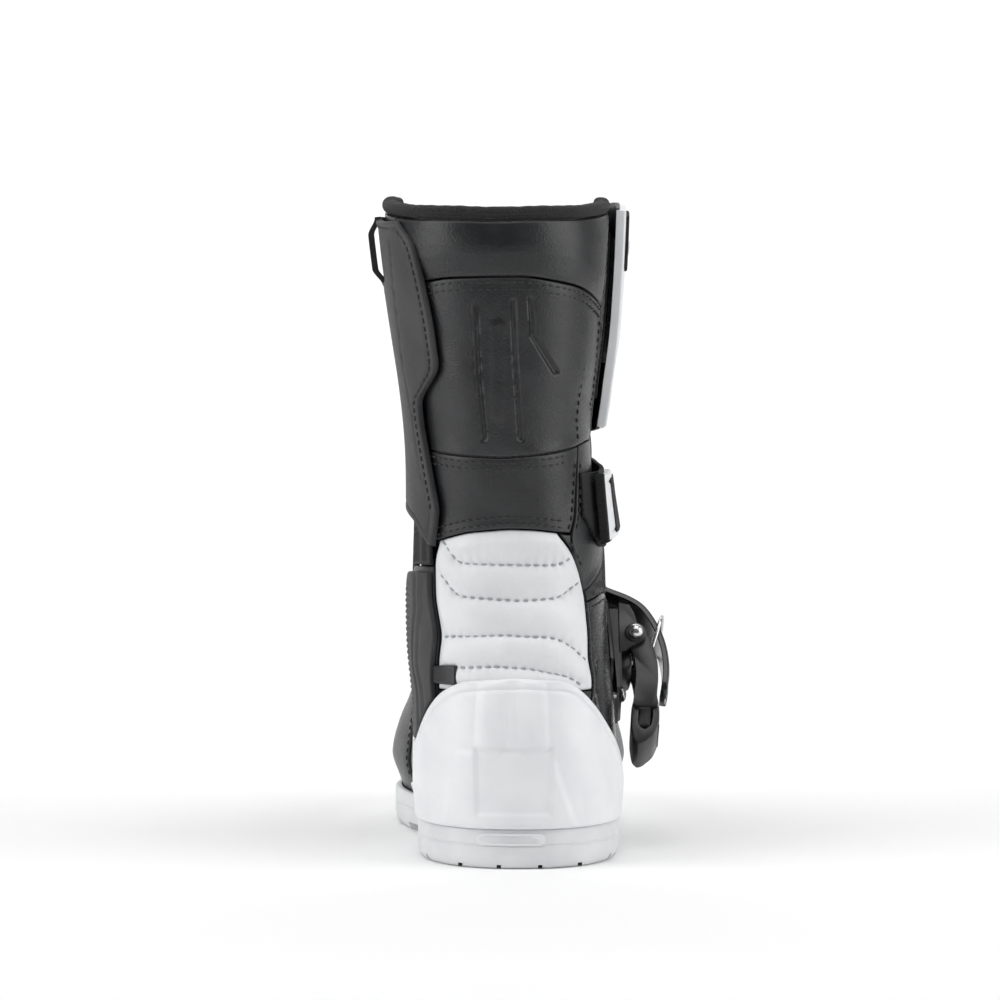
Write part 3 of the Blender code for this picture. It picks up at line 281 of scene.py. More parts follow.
# --- materials -------------------------------------------------------------------------------------------
class Nodes:
    """A material's node tree with short calls; mapped() gives millimetres along the piece."""

    def __init__(self, name):
        self.material = bpy.data.materials.new(name)
        self.material.use_nodes = True
        self.tree = self.material.node_tree
        self.shader = self.tree.nodes["Principled BSDF"]

    def add(self, kind, **values):
        node = self.tree.nodes.new(kind)
        for key, value in values.items():
            if hasattr(node, key):
                setattr(node, key, value)
            else:
                node.inputs[key.replace("_", " ")].default_value = value
        return node

    def link(self, source, target):
        self.tree.links.new(source, target)

    def mapped(self, flat=True, scale=(1, 1, 1)):
        """flat: the piece's own unrolled surface; otherwise the object's space."""
        if flat:
            place = self.add("ShaderNodeUVMap", uv_map="flat").outputs["UV"]
            factor = 1.0
        else:
            place = self.add("ShaderNodeTexCoord").outputs["Object"]
            factor = 1000.0
        mapping = self.add("ShaderNodeMapping")
        mapping.inputs["Scale"].default_value = [factor * s for s in scale]
        self.link(place, mapping.inputs["Vector"])
        return mapping.outputs["Vector"]

    def noise(self, place, scale, detail=3.0, rough=0.55):
        node = self.add("ShaderNodeTexNoise", Scale=scale, Detail=detail, Roughness=rough)
        self.link(place, node.inputs["Vector"])
        return node.outputs["Fac"]

    def cells(self, place, scale, feature="F1", randomness=1.0):
        node = self.add("ShaderNodeTexVoronoi", feature=feature, Scale=scale, Randomness=randomness)
        self.link(place, node.inputs["Vector"])
        return node.outputs["Distance"]

    def bands(self, place, scale, direction="X", profile="SIN", distortion=0.0):
        node = self.add("ShaderNodeTexWave", bands_direction=direction, wave_profile=profile,
                        Scale=scale, Distortion=distortion, Detail=1.0)
        self.link(place, node.inputs["Vector"])
        return node.outputs["Fac"]

    def math(self, operation, a, b):
        node = self.add("ShaderNodeMath", operation=operation)
        for socket, value in zip(node.inputs, (a, b)):
            if isinstance(value, (int, float)):
                socket.default_value = value
            else:
                self.link(value, socket)
        return node.outputs[0]

    def spread(self, value, low, high, start=0.0, end=1.0):
        node = self.add("ShaderNodeMapRange")
        for key, number in (("From Min", start), ("From Max", end), ("To Min", low), ("To Max", high)):
            node.inputs[key].default_value = number
        self.link(value, node.inputs["Value"])
        return node.outputs["Result"]

    def blend(self, share, first, second):
        node = self.add("ShaderNodeMix", data_type="RGBA")
        self.link(share, node.inputs[0])
        for socket, value in ((node.inputs[6], first), (node.inputs[7], second)):
            if isinstance(value, tuple):
                socket.default_value = (*value, 1.0)
            else:
                self.link(value, socket)
        return node.outputs[2]

    def rim(self):
        """1 at a panel's cut edge and 0 away from it."""
        return self.add("ShaderNodeAttribute", attribute_name="rim").outputs["Fac"]

    def bump(self, height, strength, distance):
        node = self.add("ShaderNodeBump", Strength=strength, Distance=distance)
        self.link(height, node.inputs["Height"])
        self.link(node.outputs["Normal"], self.shader.inputs["Normal"])

    def finish(self, colour=None, roughness=None, **sockets):
        if colour is not None:
            self.link(colour, self.shader.inputs["Base Color"])
        if roughness is not None:
            self.link(roughness, self.shader.inputs["Roughness"])
        for key, value in sockets.items():
            self.shader.inputs[key.replace("_", " ")].default_value = value
        return self.material


def leather(name, dark, light, low_rough, high_rough, cell=1.3, depth=0.00022, edge=None, coat=0.0):
    """Grained synthetic leather: pebbled cells, soft creases, uneven sheen and a paler cut edge."""
    n = Nodes(name)
    place = n.mapped()
    pebbles = n.cells(place, cell, "SMOOTH_F1")
    creases = n.noise(place, 0.16, 5.0, 0.6)
    fine = n.noise(place, 3.2, 2.0)
    height = n.math("ADD", n.math("MULTIPLY", pebbles, -0.75), n.math("MULTIPLY", fine, 0.35))
    height = n.math("ADD", height, n.math("MULTIPLY", creases, 0.9))
    n.bump(height, 0.55, depth)
    cloudy = n.noise(place, 0.045, 4.0, 0.6)
    colour = n.blend(n.spread(cloudy, 0, 1, 0.35, 0.65), dark, light)
    colour = n.blend(n.math("MULTIPLY", n.rim(), 0.8), colour, edge or light)
    rough = n.spread(n.math("ADD", n.math("MULTIPLY", pebbles, 0.5), n.math("MULTIPLY", cloudy, 0.6)),
                     low_rough, high_rough, 0.2, 0.8)
    return n.finish(colour, rough, Coat_Weight=coat, Coat_Roughness=0.3, Specular_IOR_Level=0.5)


def moulded(name, dark, light, low_rough, high_rough, grain=2.4, depth=0.00005, flat=True, coat=0.0):
    """Moulded plastic or rubber: fine spark-erosion grain, faint flow marks, scuffed high places."""
    n = Nodes(name)
    place = n.mapped(flat)
    fine = n.noise(place, grain, 3.0, 0.6)
    flow = n.noise(place, 0.05, 3.0)
    scuff = n.noise(place, 0.5, 6.0, 0.75)
    n.bump(n.math("ADD", fine, n.math("MULTIPLY", flow, 2.0)), 0.5, depth)
    colour = n.blend(n.spread(flow, 0, 1, 0.35, 0.65), dark, light)
    rough = n.spread(n.math("ADD", n.math("MULTIPLY", fine, 0.4), n.math("MULTIPLY", scuff, 0.6)),
                     low_rough, high_rough, 0.3, 0.7)
    return n.finish(colour, rough, Coat_Weight=coat, Coat_Roughness=0.2)


def ribbed(name, dark, light, across=True, pitch=1.6, depth=0.0005):
    """Ribbed elastic: round cords side by side, with a fine knit over them."""
    n = Nodes(name)
    place = n.mapped()
    cords = n.bands(place, 1.0 / pitch, "X" if across else "Y", "SIN", 0.15)
    knit = n.bands(place, 1.9, "Y" if across else "X", "TRI", 0.3)
    n.bump(n.math("ADD", cords, n.math("MULTIPLY", knit, 0.25)), 0.9, depth)
    colour = n.blend(n.math("MULTIPLY", cords, n.spread(knit, 0.6, 1.0)), dark, light)
    return n.finish(colour, n.spread(cords, 0.85, 0.6), Sheen_Weight=0.25, Sheen_Roughness=0.4)


def woven(name, dark, light, pitch=1.0, depth=0.0003, sheen=0.3):
    """Woven webbing: two sets of yarns that pass over each other."""
    n = Nodes(name)
    place = n.mapped()
    warp = n.bands(place, 0.5 / pitch, "X", "SIN", 0.2)
    weft = n.bands(place, 0.62 / pitch, "Y", "SIN", 0.2)
    fibre = n.noise(place, 6.0, 2.0)
    cloth = n.math("ABSOLUTE", n.math("SUBTRACT", warp, weft), 0)
    n.bump(n.math("ADD", cloth, n.math("MULTIPLY", fibre, 0.3)), 0.9, depth)
    colour = n.blend(n.math("MULTIPLY", cloth, n.spread(fibre, 0.4, 1.2)), dark, light)
    return n.finish(colour, n.spread(fibre, 0.7, 0.95), Sheen_Weight=sheen, Sheen_Roughness=0.5)


def pile(name, dark, light, scale=2.2, depth=0.0006, sheen=0.4):
    """Brushed knit, loop pile or foam: a crowd of tiny tufts."""
    n = Nodes(name)
    place = n.mapped()
    tufts = n.cells(place, scale, "F1")
    clumps = n.noise(place, 0.35, 5.0, 0.7)
    n.bump(n.math("ADD", n.math("MULTIPLY", tufts, -1.0), clumps), 0.8, depth)
    colour = n.blend(n.math("MULTIPLY", n.spread(tufts, 1.0, 0.2), clumps), dark, light)
    return n.finish(colour, n.spread(tufts, 0.8, 1.0), Sheen_Weight=sheen, Sheen_Roughness=0.6)


def metal(name, dark, light, low_rough, high_rough, stretch=(0.15, 3.0, 3.0)):
    """Drawn or rolled metal: fine lines along it and soft handling marks."""
    n = Nodes(name)
    lines = n.noise(n.mapped(False, stretch), 2.0, 4.0, 0.7)
    marks = n.noise(n.mapped(False), 0.18, 5.0, 0.65)
    n.bump(n.math("ADD", lines, n.math("MULTIPLY", marks, 0.5)), 0.35, 0.00003)
    colour = n.blend(n.spread(marks, 0, 1, 0.3, 0.7), dark, light)
    return n.finish(colour, n.spread(n.math("MULTIPLY", lines, n.spread(marks, 0.8, 1.5)), low_rough,
                                     high_rough, 0.2, 0.9), Metallic=1.0)


def thread(name, dark, light):
    """Twisted thread: a two-ply spiral and a waxy shine."""
    n = Nodes(name)
    place = n.mapped()
    ply = n.bands(place, 0.9, "DIAGONAL", "SIN", 0.4)
    n.bump(ply, 0.8, 0.0001)
    return n.finish(n.blend(ply, dark, light), n.spread(ply, 0.65, 0.42), Sheen_Weight=0.2)


def fibrous(name, dark, light):
    n = Nodes(name)
    place = n.mapped(False)
    flakes = n.cells(place, 0.6, "F1")
    dust = n.noise(place, 1.4, 5.0, 0.7)
    n.bump(n.math("ADD", flakes, dust), 0.6, 0.0002)
    return n.finish(n.blend(n.math("MULTIPLY", flakes, dust), dark, light), n.spread(dust, 0.8, 0.98))


LOOKS = {
    "leather": leather("black_leather", (0.007, 0.0075, 0.0085), (0.015, 0.016, 0.018), 0.26, 0.44,
                       edge=(0.030, 0.030, 0.032)),
    "gloss_leather": leather("black_gloss_leather", (0.007, 0.007, 0.008), (0.015, 0.016, 0.017), 0.18,
                             0.36, depth=0.00003, edge=(0.03, 0.03, 0.032), coat=0.15),
    "white_leather": leather("white_quilted_leather", (0.70, 0.71, 0.72), (0.77, 0.78, 0.79), 0.36, 0.5,
                             cell=0.9, depth=0.00012, edge=(0.66, 0.67, 0.69)),
    "white": moulded("white_polyurethane", (0.74, 0.755, 0.775), (0.80, 0.81, 0.825), 0.30, 0.46,
                     coat=0.12),
    "rubber": moulded("grey_black_rubber", (0.028, 0.028, 0.030), (0.042, 0.042, 0.044), 0.46, 0.66,
                      grain=3.0, depth=0.00012),
    "guard": ribbed("grey_black_grip", (0.018, 0.018, 0.020), (0.045, 0.045, 0.047), False, 1.5, 0.0003),
    "elastic": ribbed("black_elastic", (0.004, 0.004, 0.005), (0.028, 0.028, 0.030), True, 1.7, 0.0008),
    "knit": pile("black_knit", (0.003, 0.003, 0.0035), (0.016, 0.016, 0.017), 1.7, 0.0005, 0.06),
    "hook": pile("hook_and_loop", (0.002, 0.002, 0.003), (0.010, 0.010, 0.011), 2.6, 0.0009, 0.05),
    "webbing": woven("black_webbing", (0.003, 0.003, 0.004), (0.016, 0.016, 0.018), sheen=0.08),
    "mesh": woven("black_lining", (0.004, 0.004, 0.005), (0.020, 0.020, 0.022), 1.4, sheen=0.08),
    "plastic": moulded("black_moulded_plastic", (0.010, 0.010, 0.011), (0.020, 0.020, 0.022), 0.28, 0.46,
                       grain=1.6, flat=False),
    "strap": moulded("black_strap_plastic", (0.008, 0.008, 0.009), (0.015, 0.015, 0.017), 0.14, 0.28,
                     grain=1.2),
    "steel": metal("bright_steel", (0.52, 0.52, 0.53), (0.72, 0.72, 0.72), 0.14, 0.34),
    "aluminium": metal("satin_aluminium", (0.60, 0.61, 0.62), (0.80, 0.81, 0.82), 0.22, 0.42),
    # Black thread, set darker than the black leather: partly its own black, partly painted shade standing in for the
    # dark needle holes along the stitch rows.
    "black_thread": thread("black_thread", (0.002, 0.002, 0.002), (0.009, 0.009, 0.010)),
    # The quilt thread is white, but its colour here is set grey: painted shade of the dark needle holes between the
    # stitches, so the rows read as dotted lines.
    "white_thread": thread("white_thread", (0.28, 0.30, 0.33), (0.50, 0.52, 0.55)),
    "board": fibrous("insole_board", (0.22, 0.16, 0.10), (0.48, 0.38, 0.27)),
    "foam": pile("padding_foam", (0.05, 0.05, 0.055), (0.13, 0.13, 0.14), 0.9, 0.0009, 0.1),
}


# --- meshes ------------------------------------------------------------------------------------------------
def make_object(name, points, faces, look, flat=None, rim=None, sharp=35):
    """A mesh from design points; flat is a uv for each point, in millimetres, and rim marks cut edges."""
    mesh = bpy.data.meshes.new(name)
    mesh.from_pydata(to_world(points).tolist(), [], faces)
    if flat is not None:
        loops = np.zeros(len(mesh.loops), np.int32)
        mesh.loops.foreach_get("vertex_index", loops)
        layer = mesh.uv_layers.new(name="flat")
        layer.data.foreach_set("uv", np.asarray(flat, np.float32)[loops].ravel())
    if rim is not None:
        mesh.attributes.new("rim", "FLOAT", "POINT").data.foreach_set("value", np.asarray(rim, np.float32))
    work = bmesh.new()
    work.from_mesh(mesh)
    bmesh.ops.recalc_face_normals(work, faces=work.faces)
    work.to_mesh(mesh)
    work.free()
    mesh.shade_smooth()
    mesh.set_sharp_from_angle(angle=math.radians(sharp))
    mesh.materials.append(LOOKS[look])
    made = bpy.data.objects.new(name, mesh)
    bpy.context.scene.collection.objects.link(made)
    return made


def settle(piece, body, nodes=()):
    """Hides the CAD parts the piece stands in for, then parents it to its body's empty, or bakes its place in when the
    body is a zone tuple.
    """
    if nodes:
        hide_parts(*nodes)
    if isinstance(body, tuple):
        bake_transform(piece)
    else:
        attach(piece, body)
    return piece


def grid_faces(columns, rows, closed=False):
    """Quads of an outer grid, an inner grid and the rim between them."""
    index = np.arange(columns * rows).reshape(columns, rows)
    if closed:
        index = np.vstack([index, index[:1]])
    inner = index + columns * rows
    faces = []
    a, b, c, d = index[:-1, :-1], index[1:, :-1], index[1:, 1:], index[:-1, 1:]
    faces += np.stack([a, b, c, d], -1).reshape(-1, 4).tolist()
    a, b, c, d = inner[:-1, :-1], inner[:-1, 1:], inner[1:, 1:], inner[1:, :-1]
    faces += np.stack([a, b, c, d], -1).reshape(-1, 4).tolist()
    for row in (0, rows - 1):
        strip = np.stack([index[:-1, row], inner[:-1, row], inner[1:, row], index[1:, row]], -1)
        faces += strip.tolist()
    if not closed:
        for column in (0, columns - 1):
            strip = np.stack([index[column, :-1], index[column, 1:], inner[column, 1:], inner[column, :-1]], -1)
            faces += strip.tolist()
    return faces


def ladder(length, step, edge):
    """Places from 0 to 1 along a side, closer together within the rounded edge."""
    count = max(4, int(length / step))
    near = np.array([0.0, 0.12, 0.3, 0.55, 0.8]) * edge / length
    middle = np.linspace(edge / length, 1 - edge / length, count)
    return np.concatenate([near, middle, 1 - near[::-1]])


def patch(u_edges, z_edges, s, t):
    """(u, z) of a grid between two side edges u(z) and two level edges z(u)."""
    low_u, high_u = (as_function(e) for e in u_edges)
    low_z, high_z = (as_function(e) for e in z_edges)
    s, t = s[:, None], t[None, :]
    z = np.full((s.size, t.size), float(np.mean(low_z(np.array([0.0])))))
    for _ in range(6):
        u = low_u(z) * (1 - s) + high_u(z) * s
        z = low_z(u) * (1 - t) + high_z(u) * t
    return u, z


def lengths(points, axis):
    steps = np.linalg.norm(np.diff(points, axis=axis), axis=-1)
    zero = np.zeros_like(np.take(steps, [0], axis=axis))
    return np.concatenate([zero, np.cumsum(steps, axis=axis)], axis=axis)


def panel(name, u_edges, z_edges, layer, look, body, nodes=(), step=1.3, edge=0.7, relief=None,
          round_edges=(1, 1, 1, 1), roll=0.0):
    """A patch of the wall between two offsets, with rounded edges and a relief on its face.

    round_edges says which of the low-u, high-u, bottom and top edges are rounded; roll is how far
    a rounded edge also dips below the face."""
    probe_u, probe_z = patch(u_edges, z_edges, np.linspace(0, 1, 9), np.linspace(0, 1, 9))
    probe = wall(probe_u, probe_z)
    width = float(lengths(probe, 0)[-1].max())
    height = float(lengths(probe, 1)[:, -1].max())
    s, t = ladder(width, step, edge), ladder(height, step, edge)
    u, z = patch(u_edges, z_edges, s, t)
    base = wall(u, z)
    out = normal(base)
    inner, outer = (as_function(o)(u) for o in layer)
    across, along = lengths(base, 0), lengths(base, 1)
    gaps = [across, across[-1:] - across, along, along[:, -1:] - along]
    drop, rim = np.zeros(u.shape), np.zeros(u.shape)
    thickness = outer - inner
    for gap, wanted in zip(gaps, round_edges):
        if wanted:
            q = np.clip(gap / edge, 0, 1)
            drop = np.maximum(drop, 1 - np.sqrt(np.clip(1 - (1 - q) ** 2, 0, 1)))
            rim = np.maximum(rim, np.clip(1 - gap / (edge * 1.6), 0, 1))
    if relief is not None:
        outer = outer + relief(base, u, z, np.minimum(np.minimum(gaps[0], gaps[1]),
                                                      np.minimum(gaps[2], gaps[3])))
    outer = outer - drop * np.minimum(edge, thickness * 0.9) - roll * rim
    face = base + out * outer[..., None]
    back = base + out * inner[..., None]
    flat = np.stack([across, along], -1).reshape(-1, 2)
    piece = make_object(name, np.concatenate([face.reshape(-1, 3), back.reshape(-1, 3)]),
                        grid_faces(*u.shape), look, np.concatenate([flat, flat]),
                        np.concatenate([rim.ravel(), np.ones(rim.size)]))
    return settle(piece, body, nodes)


def ring_panel(name, z_edges, layer, look, body, nodes=(), columns=220, rows=70, relief=None):
    """A lining that goes all the way round."""
    low_z, high_z = (as_function(e) for e in z_edges)
    u = np.linspace(-3, 3, columns, endpoint=False)[:, None] * np.ones((1, rows))
    t = np.linspace(0, 1, rows)[None, :]
    z = low_z(u) * (1 - t) + high_z(u) * t
    base = wall(u, z)
    out = normal(base)
    inner = np.full(u.shape, layer[0])
    if relief is not None:
        inner = inner + relief(base, u, z)
    face, back = base + out * layer[1], base + out * inner[..., None]
    flat = np.stack([lengths(base, 0), lengths(base, 1)], -1).reshape(-1, 2)
    piece = make_object(name, np.concatenate([face.reshape(-1, 3), back.reshape(-1, 3)]),
                        grid_faces(columns, rows, True), look, np.concatenate([flat, flat]),
                        np.zeros(2 * u.size))
    return settle(piece, body, nodes)


def groove(distance, width, depth):
    """A rounded groove (negative) or bead (positive depth) at a distance of 0."""
    return depth * np.clip(1 - (np.abs(distance) / width) ** 2, 0, 1) ** 1.5


def to_polyline(x, z, line):
    """Distance in the rear view from points to a line of (x, z) corners."""
    best = np.full(np.shape(x), 1e9)
    for (ax, az), (bx, bz) in zip(line[:-1], line[1:]):
        dx, dz = bx - ax, bz - az
        t = np.clip(((x - ax) * dx + (z - az) * dz) / (dx * dx + dz * dz), 0, 1)
        best = np.minimum(best, np.hypot(x - ax - t * dx, z - az - t * dz))
    return best


def inside_shape(x, z, corners, soft):
    """1 inside a convex outline given counterclockwise in the rear view, falling to 0 over soft."""
    depth = np.full(np.shape(x), 1e9)
    for (ax, az), (bx, bz) in zip(corners, corners[1:] + corners[:1]):
        length = math.hypot(bx - ax, bz - az)
        depth = np.minimum(depth, ((bx - ax) * (z - az) - (bz - az) * (x - ax)) / length)
    return smooth_step(depth / soft + 0.5)


# --- stitches ------------------------------------------------------------------------------------------------
STITCHES = {}


def stitch_line(group, points, out, pitch=3.0, length=2.35, radius=0.3):
    """Adds a row of stitches along points on the surface; out is the surface's direction there."""
    along = np.concatenate([[0], np.cumsum(np.linalg.norm(np.diff(points, axis=0), axis=1))])
    count = max(2, int(along[-1] / pitch))
    at = (np.arange(count) + 0.5) * along[-1] / count
    centre = np.stack([np.interp(at, along, points[:, k]) for k in range(3)], -1)
    ahead = np.stack([np.interp(np.minimum(at + 0.6, along[-1]), along, points[:, k]) for k in range(3)], -1)
    behind = np.stack([np.interp(np.maximum(at - 0.6, 0), along, points[:, k]) for k in range(3)], -1)
    up = np.stack([np.interp(at, along, out[:, k]) for k in range(3)], -1)
    tangent = ahead - behind
    tangent /= np.linalg.norm(tangent, axis=1, keepdims=True)
    up -= tangent * (up * tangent).sum(1, keepdims=True)
    up /= np.linalg.norm(up, axis=1, keepdims=True)
    STITCHES.setdefault(group, []).append((centre, tangent, up, length, radius))


def stitch_template(length, radius, sides=8, rings=7):
    """One thread between two needle holes: it rises out of the first and dips into the second."""
    t = np.linspace(-1, 1, rings)
    points, faces = [], []
    for k, place in enumerate(t):
        size = radius * (1 - 0.72 * abs(place) ** 4)
        rise = 0.16 * (1 - place**2) - 0.42 * abs(place) ** 5
        for j in range(sides):
            a = 2 * math.pi * j / sides
            points.append((place * length / 2, size * math.cos(a), rise + size * math.sin(a)))
        if k:
            for j in range(sides):
                m = (j + 1) % sides
                faces.append(((k - 1) * sides + j, (k - 1) * sides + m, k * sides + m, k * sides + j))
    faces.append(tuple(range(sides)))
    faces.append(tuple(range((rings - 1) * sides, rings * sides)))
    return np.array(points), faces


def build_stitches():
    for (name, look, body), rows in STITCHES.items():
        points, faces, flat = [], [], []
        for centre, tangent, up, length, radius in rows:
            shape, quads = stitch_template(length, radius)
            side = np.cross(up, tangent)
            placed = (centre[:, None] + tangent[:, None] * shape[None, :, :1]
                      + side[:, None] * shape[None, :, 1:2] + up[:, None] * shape[None, :, 2:])
            for block in placed:
                start = len(points) * len(shape)
                points.append(block)
                flat.append(shape[:, :2] * 2)
                faces += [tuple(i + start for i in quad) for quad in quads]
        piece = make_object(name, np.concatenate(points), faces, look, np.concatenate(flat))
        settle(piece, body)


def seam(group, edge, u_from, u_to, shift, lift=0.12, **shape):
    """Stitches beside a level edge z(u)."""
    u = np.linspace(u_from, u_to, max(12, int(abs(u_to - u_from) * 60)))
    z = as_function(edge)(u) + shift
    p = wall(u, z)
    n = normal(p)
    stitch_line(group, p + n * np.asarray(as_function(lift)(u))[:, None], n, **shape)


def side_seam(group, edge, z_from, z_to, shift_mm, lift=0.12, **shape):
    """Stitches beside an upright edge u(z), shifted along the wall."""
    z = np.linspace(z_from, z_to, max(12, int(abs(z_to - z_from) / 1.5)))
    u = as_function(edge)(z)
    scale = np.linalg.norm(wall(u + 0.01, z) - wall(u - 0.01, z), axis=-1) / 0.02
    u = u + shift_mm / scale
    p = wall(u, z)
    n = normal(p)
    stitch_line(group, p + n * np.asarray(as_function(lift)(u))[:, None], n, **shape)


def back_point(x, z):
    """The wall's point behind the heel at these x and z."""
    x, z = np.broadcast_arrays(np.asarray(x, float), np.asarray(z, float))
    start = np.stack([x, np.full(x.shape, HEEL_CENTRE_Y), z], -1)
    return cast(start, np.broadcast_to(np.array([0.0, -1.0, 0.0]), start.shape))


def back_seam(group, line, lift=0.12, **shape):
    """Stitches along a smooth line of (x, z) seen from behind."""
    corners = np.array(line, float)
    along = np.concatenate([[0], np.cumsum(np.hypot(*np.diff(corners, axis=0).T))])
    at = np.linspace(0, along[-1], max(12, int(along[-1])))
    x, z = (np.interp(at, along, corners[:, k]) for k in (0, 1))
    p = back_point(x, z)
    n = normal(p)
    height = lift(x, z) if callable(lift) else np.full(x.shape, float(lift))
    stitch_line(group, p + n * height[:, None], n, **shape)


# --- sole ------------------------------------------------------------------------------------------------
HEEL_GROOVES_Y, FOREFOOT_GROOVES_Y = (26.0, 44.0, 62.0), (132.0, 149.0, 166.0, 183.0, 200.0)
HEEL_NOTCHES_X, GROOVE, TREAD_DEPTH = (-22.0, -7.5, 8.0, 23.0), 2.6, 2.6
WAIST_Y, WAIST_RISE = (84.0, 116.0), 3.0


def outline(offset, z=16.0, count=260):
    u = np.linspace(-3, 3, count, endpoint=False)
    p = wall(u, np.full(count, z))
    n = normal(p)
    n[:, 2] = 0
    n /= np.linalg.norm(n, axis=1, keepdims=True)
    return p + n * as_function(offset)(p[:, 1])[:, None]


def edge_width(y):
    return 1.4 + 1.5 * smooth_step((y - 80) / 50)


def stack_rings(rings):
    """Points and faces of a solid from closed rings of the same count, capped at both ends."""
    count = len(rings[0])
    faces = [tuple(range(count)), tuple(range((len(rings) - 1) * count, len(rings) * count))]
    index = np.arange(len(rings) * count).reshape(len(rings), count)
    ahead = np.roll(index, -1, axis=1)
    faces += np.stack([index[:-1], ahead[:-1], ahead[1:], index[1:]], -1).reshape(-1, 4).tolist()
    return np.concatenate(rings), faces


def cutter(low, high):
    mesh = bpy.data.meshes.new("cut")
    work = bmesh.new()
    bmesh.ops.create_cube(work, size=1.0)
    low, high = to_world(low), to_world(high)
    for v in work.verts:
        v.co = Vector([(low[k] + high[k]) / 2 + v.co[k] * (high[k] - low[k]) for k in range(3)])
    work.to_mesh(mesh)
    work.free()
    made = bpy.data.objects.new("cut", mesh)
    bpy.context.scene.collection.objects.link(made)
    return made


def boolean(target, tools, operation="DIFFERENCE"):
    for tool in tools:
        change = target.modifiers.new("cut", "BOOLEAN")
        change.operation, change.object, change.solver = operation, tool, "EXACT"
        graph = bpy.context.evaluated_depsgraph_get()
        made = bpy.data.meshes.new_from_object(target.evaluated_get(graph))
        target.modifiers.clear()
        target.data = made
        bpy.data.objects.remove(tool, do_unlink=True)
    target.data.shade_smooth()
    target.data.set_sharp_from_angle(angle=math.radians(38))
    return target


def bevel(target, width, segments=2, angle=35):
    """Rounds a piece's sharp edges, width in millimetres."""
    change = target.modifiers.new("round", "BEVEL")
    change.width, change.segments, change.limit_method = width * MM, segments, "ANGLE"
    change.angle_limit, change.harden_normals = math.radians(angle), True
    return target


def make_outsole():
    # offset from the wall's outline, height: from the ground up the side, over the lip and inside
    profile = [
        (-3.6, 0.0), (-2.6, 0.05), (-1.7, 0.45), (-1.0, 1.2), (-0.55, 2.2), (-0.2, 3.4), (0.0, 5.0),
        (0.0, 8.3), (-0.35, 8.7), (-0.35, 9.2), (0.0, 9.6), (0.0, 13.2), (-0.1, 14.2), (-0.5, 14.8), (-0.9, SOLE_TOP),
    ]
    rings = []
    for offset, z in profile:
        ring = outline(lambda y: edge_width(y) + offset)
        ring[:, 2] = z
        if 9.4 < z < 13.6:
            ring[:, 1] += 0.0
        rings.append(ring)
    for z in (SOLE_TOP, SOLE_FLOOR):
        ring = outline(0.4)
        ring[:, 2] = z
        rings.append(ring)
    points, faces = stack_rings(rings)
    sole = make_object("cup_sole", points, faces, "white")
    cutters = [cutter((-70, WAIST_Y[0], -5), (70, WAIST_Y[1], WAIST_RISE))]
    for y in (*HEEL_GROOVES_Y, *FOREFOOT_GROOVES_Y):
        cutters.append(cutter((-70, y - GROOVE / 2, -5), (70, y + GROOVE / 2, TREAD_DEPTH)))
    for x in HEEL_NOTCHES_X:
        cutters.append(cutter((x - 0.8, -10, -5), (x + 0.8, HEEL_GROOVES_Y[0], 1.6)))
    boolean(sole, cutters)
    sole.data.materials.clear()
    sole.data.materials.append(LOOKS["sole"])
    settle(sole, "foot", ["outsole"])
    # plain raised pill at the back, where the real one has a mark
    a = np.linspace(0, 2 * math.pi, 64, endpoint=False)
    half_w, half_h = 12.4, 2.3
    straight_w = half_w - half_h
    rings = []
    for size, lift in ((1.0, -0.4), (1.0, 0.25), (0.93, 0.5), (0.78, 0.56), (0.6, 0.42)):
        cx = np.clip(np.cos(a) * 9, -1, 1) * straight_w
        x = -2.8 + cx + np.cos(a) * half_h * size
        z = 11.3 + np.sin(a) * half_h * size
        p = back_point(x, np.full(x.shape, 16.0))
        n = normal(p)
        n[:, 2] = 0
        ring = p + n * (edge_width(0) + lift)
        ring[:, 2] = z
        rings.append(ring)
    points, faces = stack_rings(rings)
    settle(make_object("sole_pill", points, faces, "white"), "foot")


LOOKS["sole"] = moulded("white_sole_compound", (0.66, 0.675, 0.69), (0.74, 0.75, 0.76), 0.34, 0.5,
                        flat=False, coat=0.08)


# --- foot ------------------------------------------------------------------------------------------------
COUNTER_PANEL = [(-15.3, 44.9), (-14.6, 20.6), (11.0, 20.6), (11.7, 44.9)]
COUNTER_TRAPEZOID = [(-21.3, 43.2), (-27.2, 15.0), (20.2, 15.0), (10.9, 43.2)]
COUNTER_RIBS = [(-9.3, 67.0), (-10.2, 46.8)], [(4.3, 67.0), (5.2, 46.8)]


def heel_counter_relief(p, u, z, gap):
    x, height = p[..., 0], p[..., 2]
    behind = (p[..., 1] < 40) * 1.0
    result = 0.6 * inside_shape(x, height, COUNTER_TRAPEZOID, 3.0) * behind
    result = result - 0.8 * inside_shape(x, height, COUNTER_PANEL, 2.0) * behind
    for line in COUNTER_RIBS:
        result = result + 0.9 * np.clip(1 - (to_polyline(x, height, line) / 5.6) ** 2, 0, 1) * behind
    result = result - 0.5 * np.clip(1 - np.abs(gap - 4.2) / 0.9, 0, 1) * (height > 24)
    return result * smooth_step(gap / 2.0)


def crease(p, strength=0.35, scale=14.0):
    """Slight unevenness of stretched leather, the same every run."""
    x, y, z = p[..., 0], p[..., 1], p[..., 2]
    wave = np.sin(x / scale * 2.1 + z / scale * 0.7 + 1.3) + np.sin(z / scale * 2.6 - y / scale * 1.1)
    fine = np.sin(x / 5.1 + z / 7.3) * np.sin(z / 4.7 - y / 6.1 + 0.6)
    return strength * (0.5 * wave + 0.35 * fine)


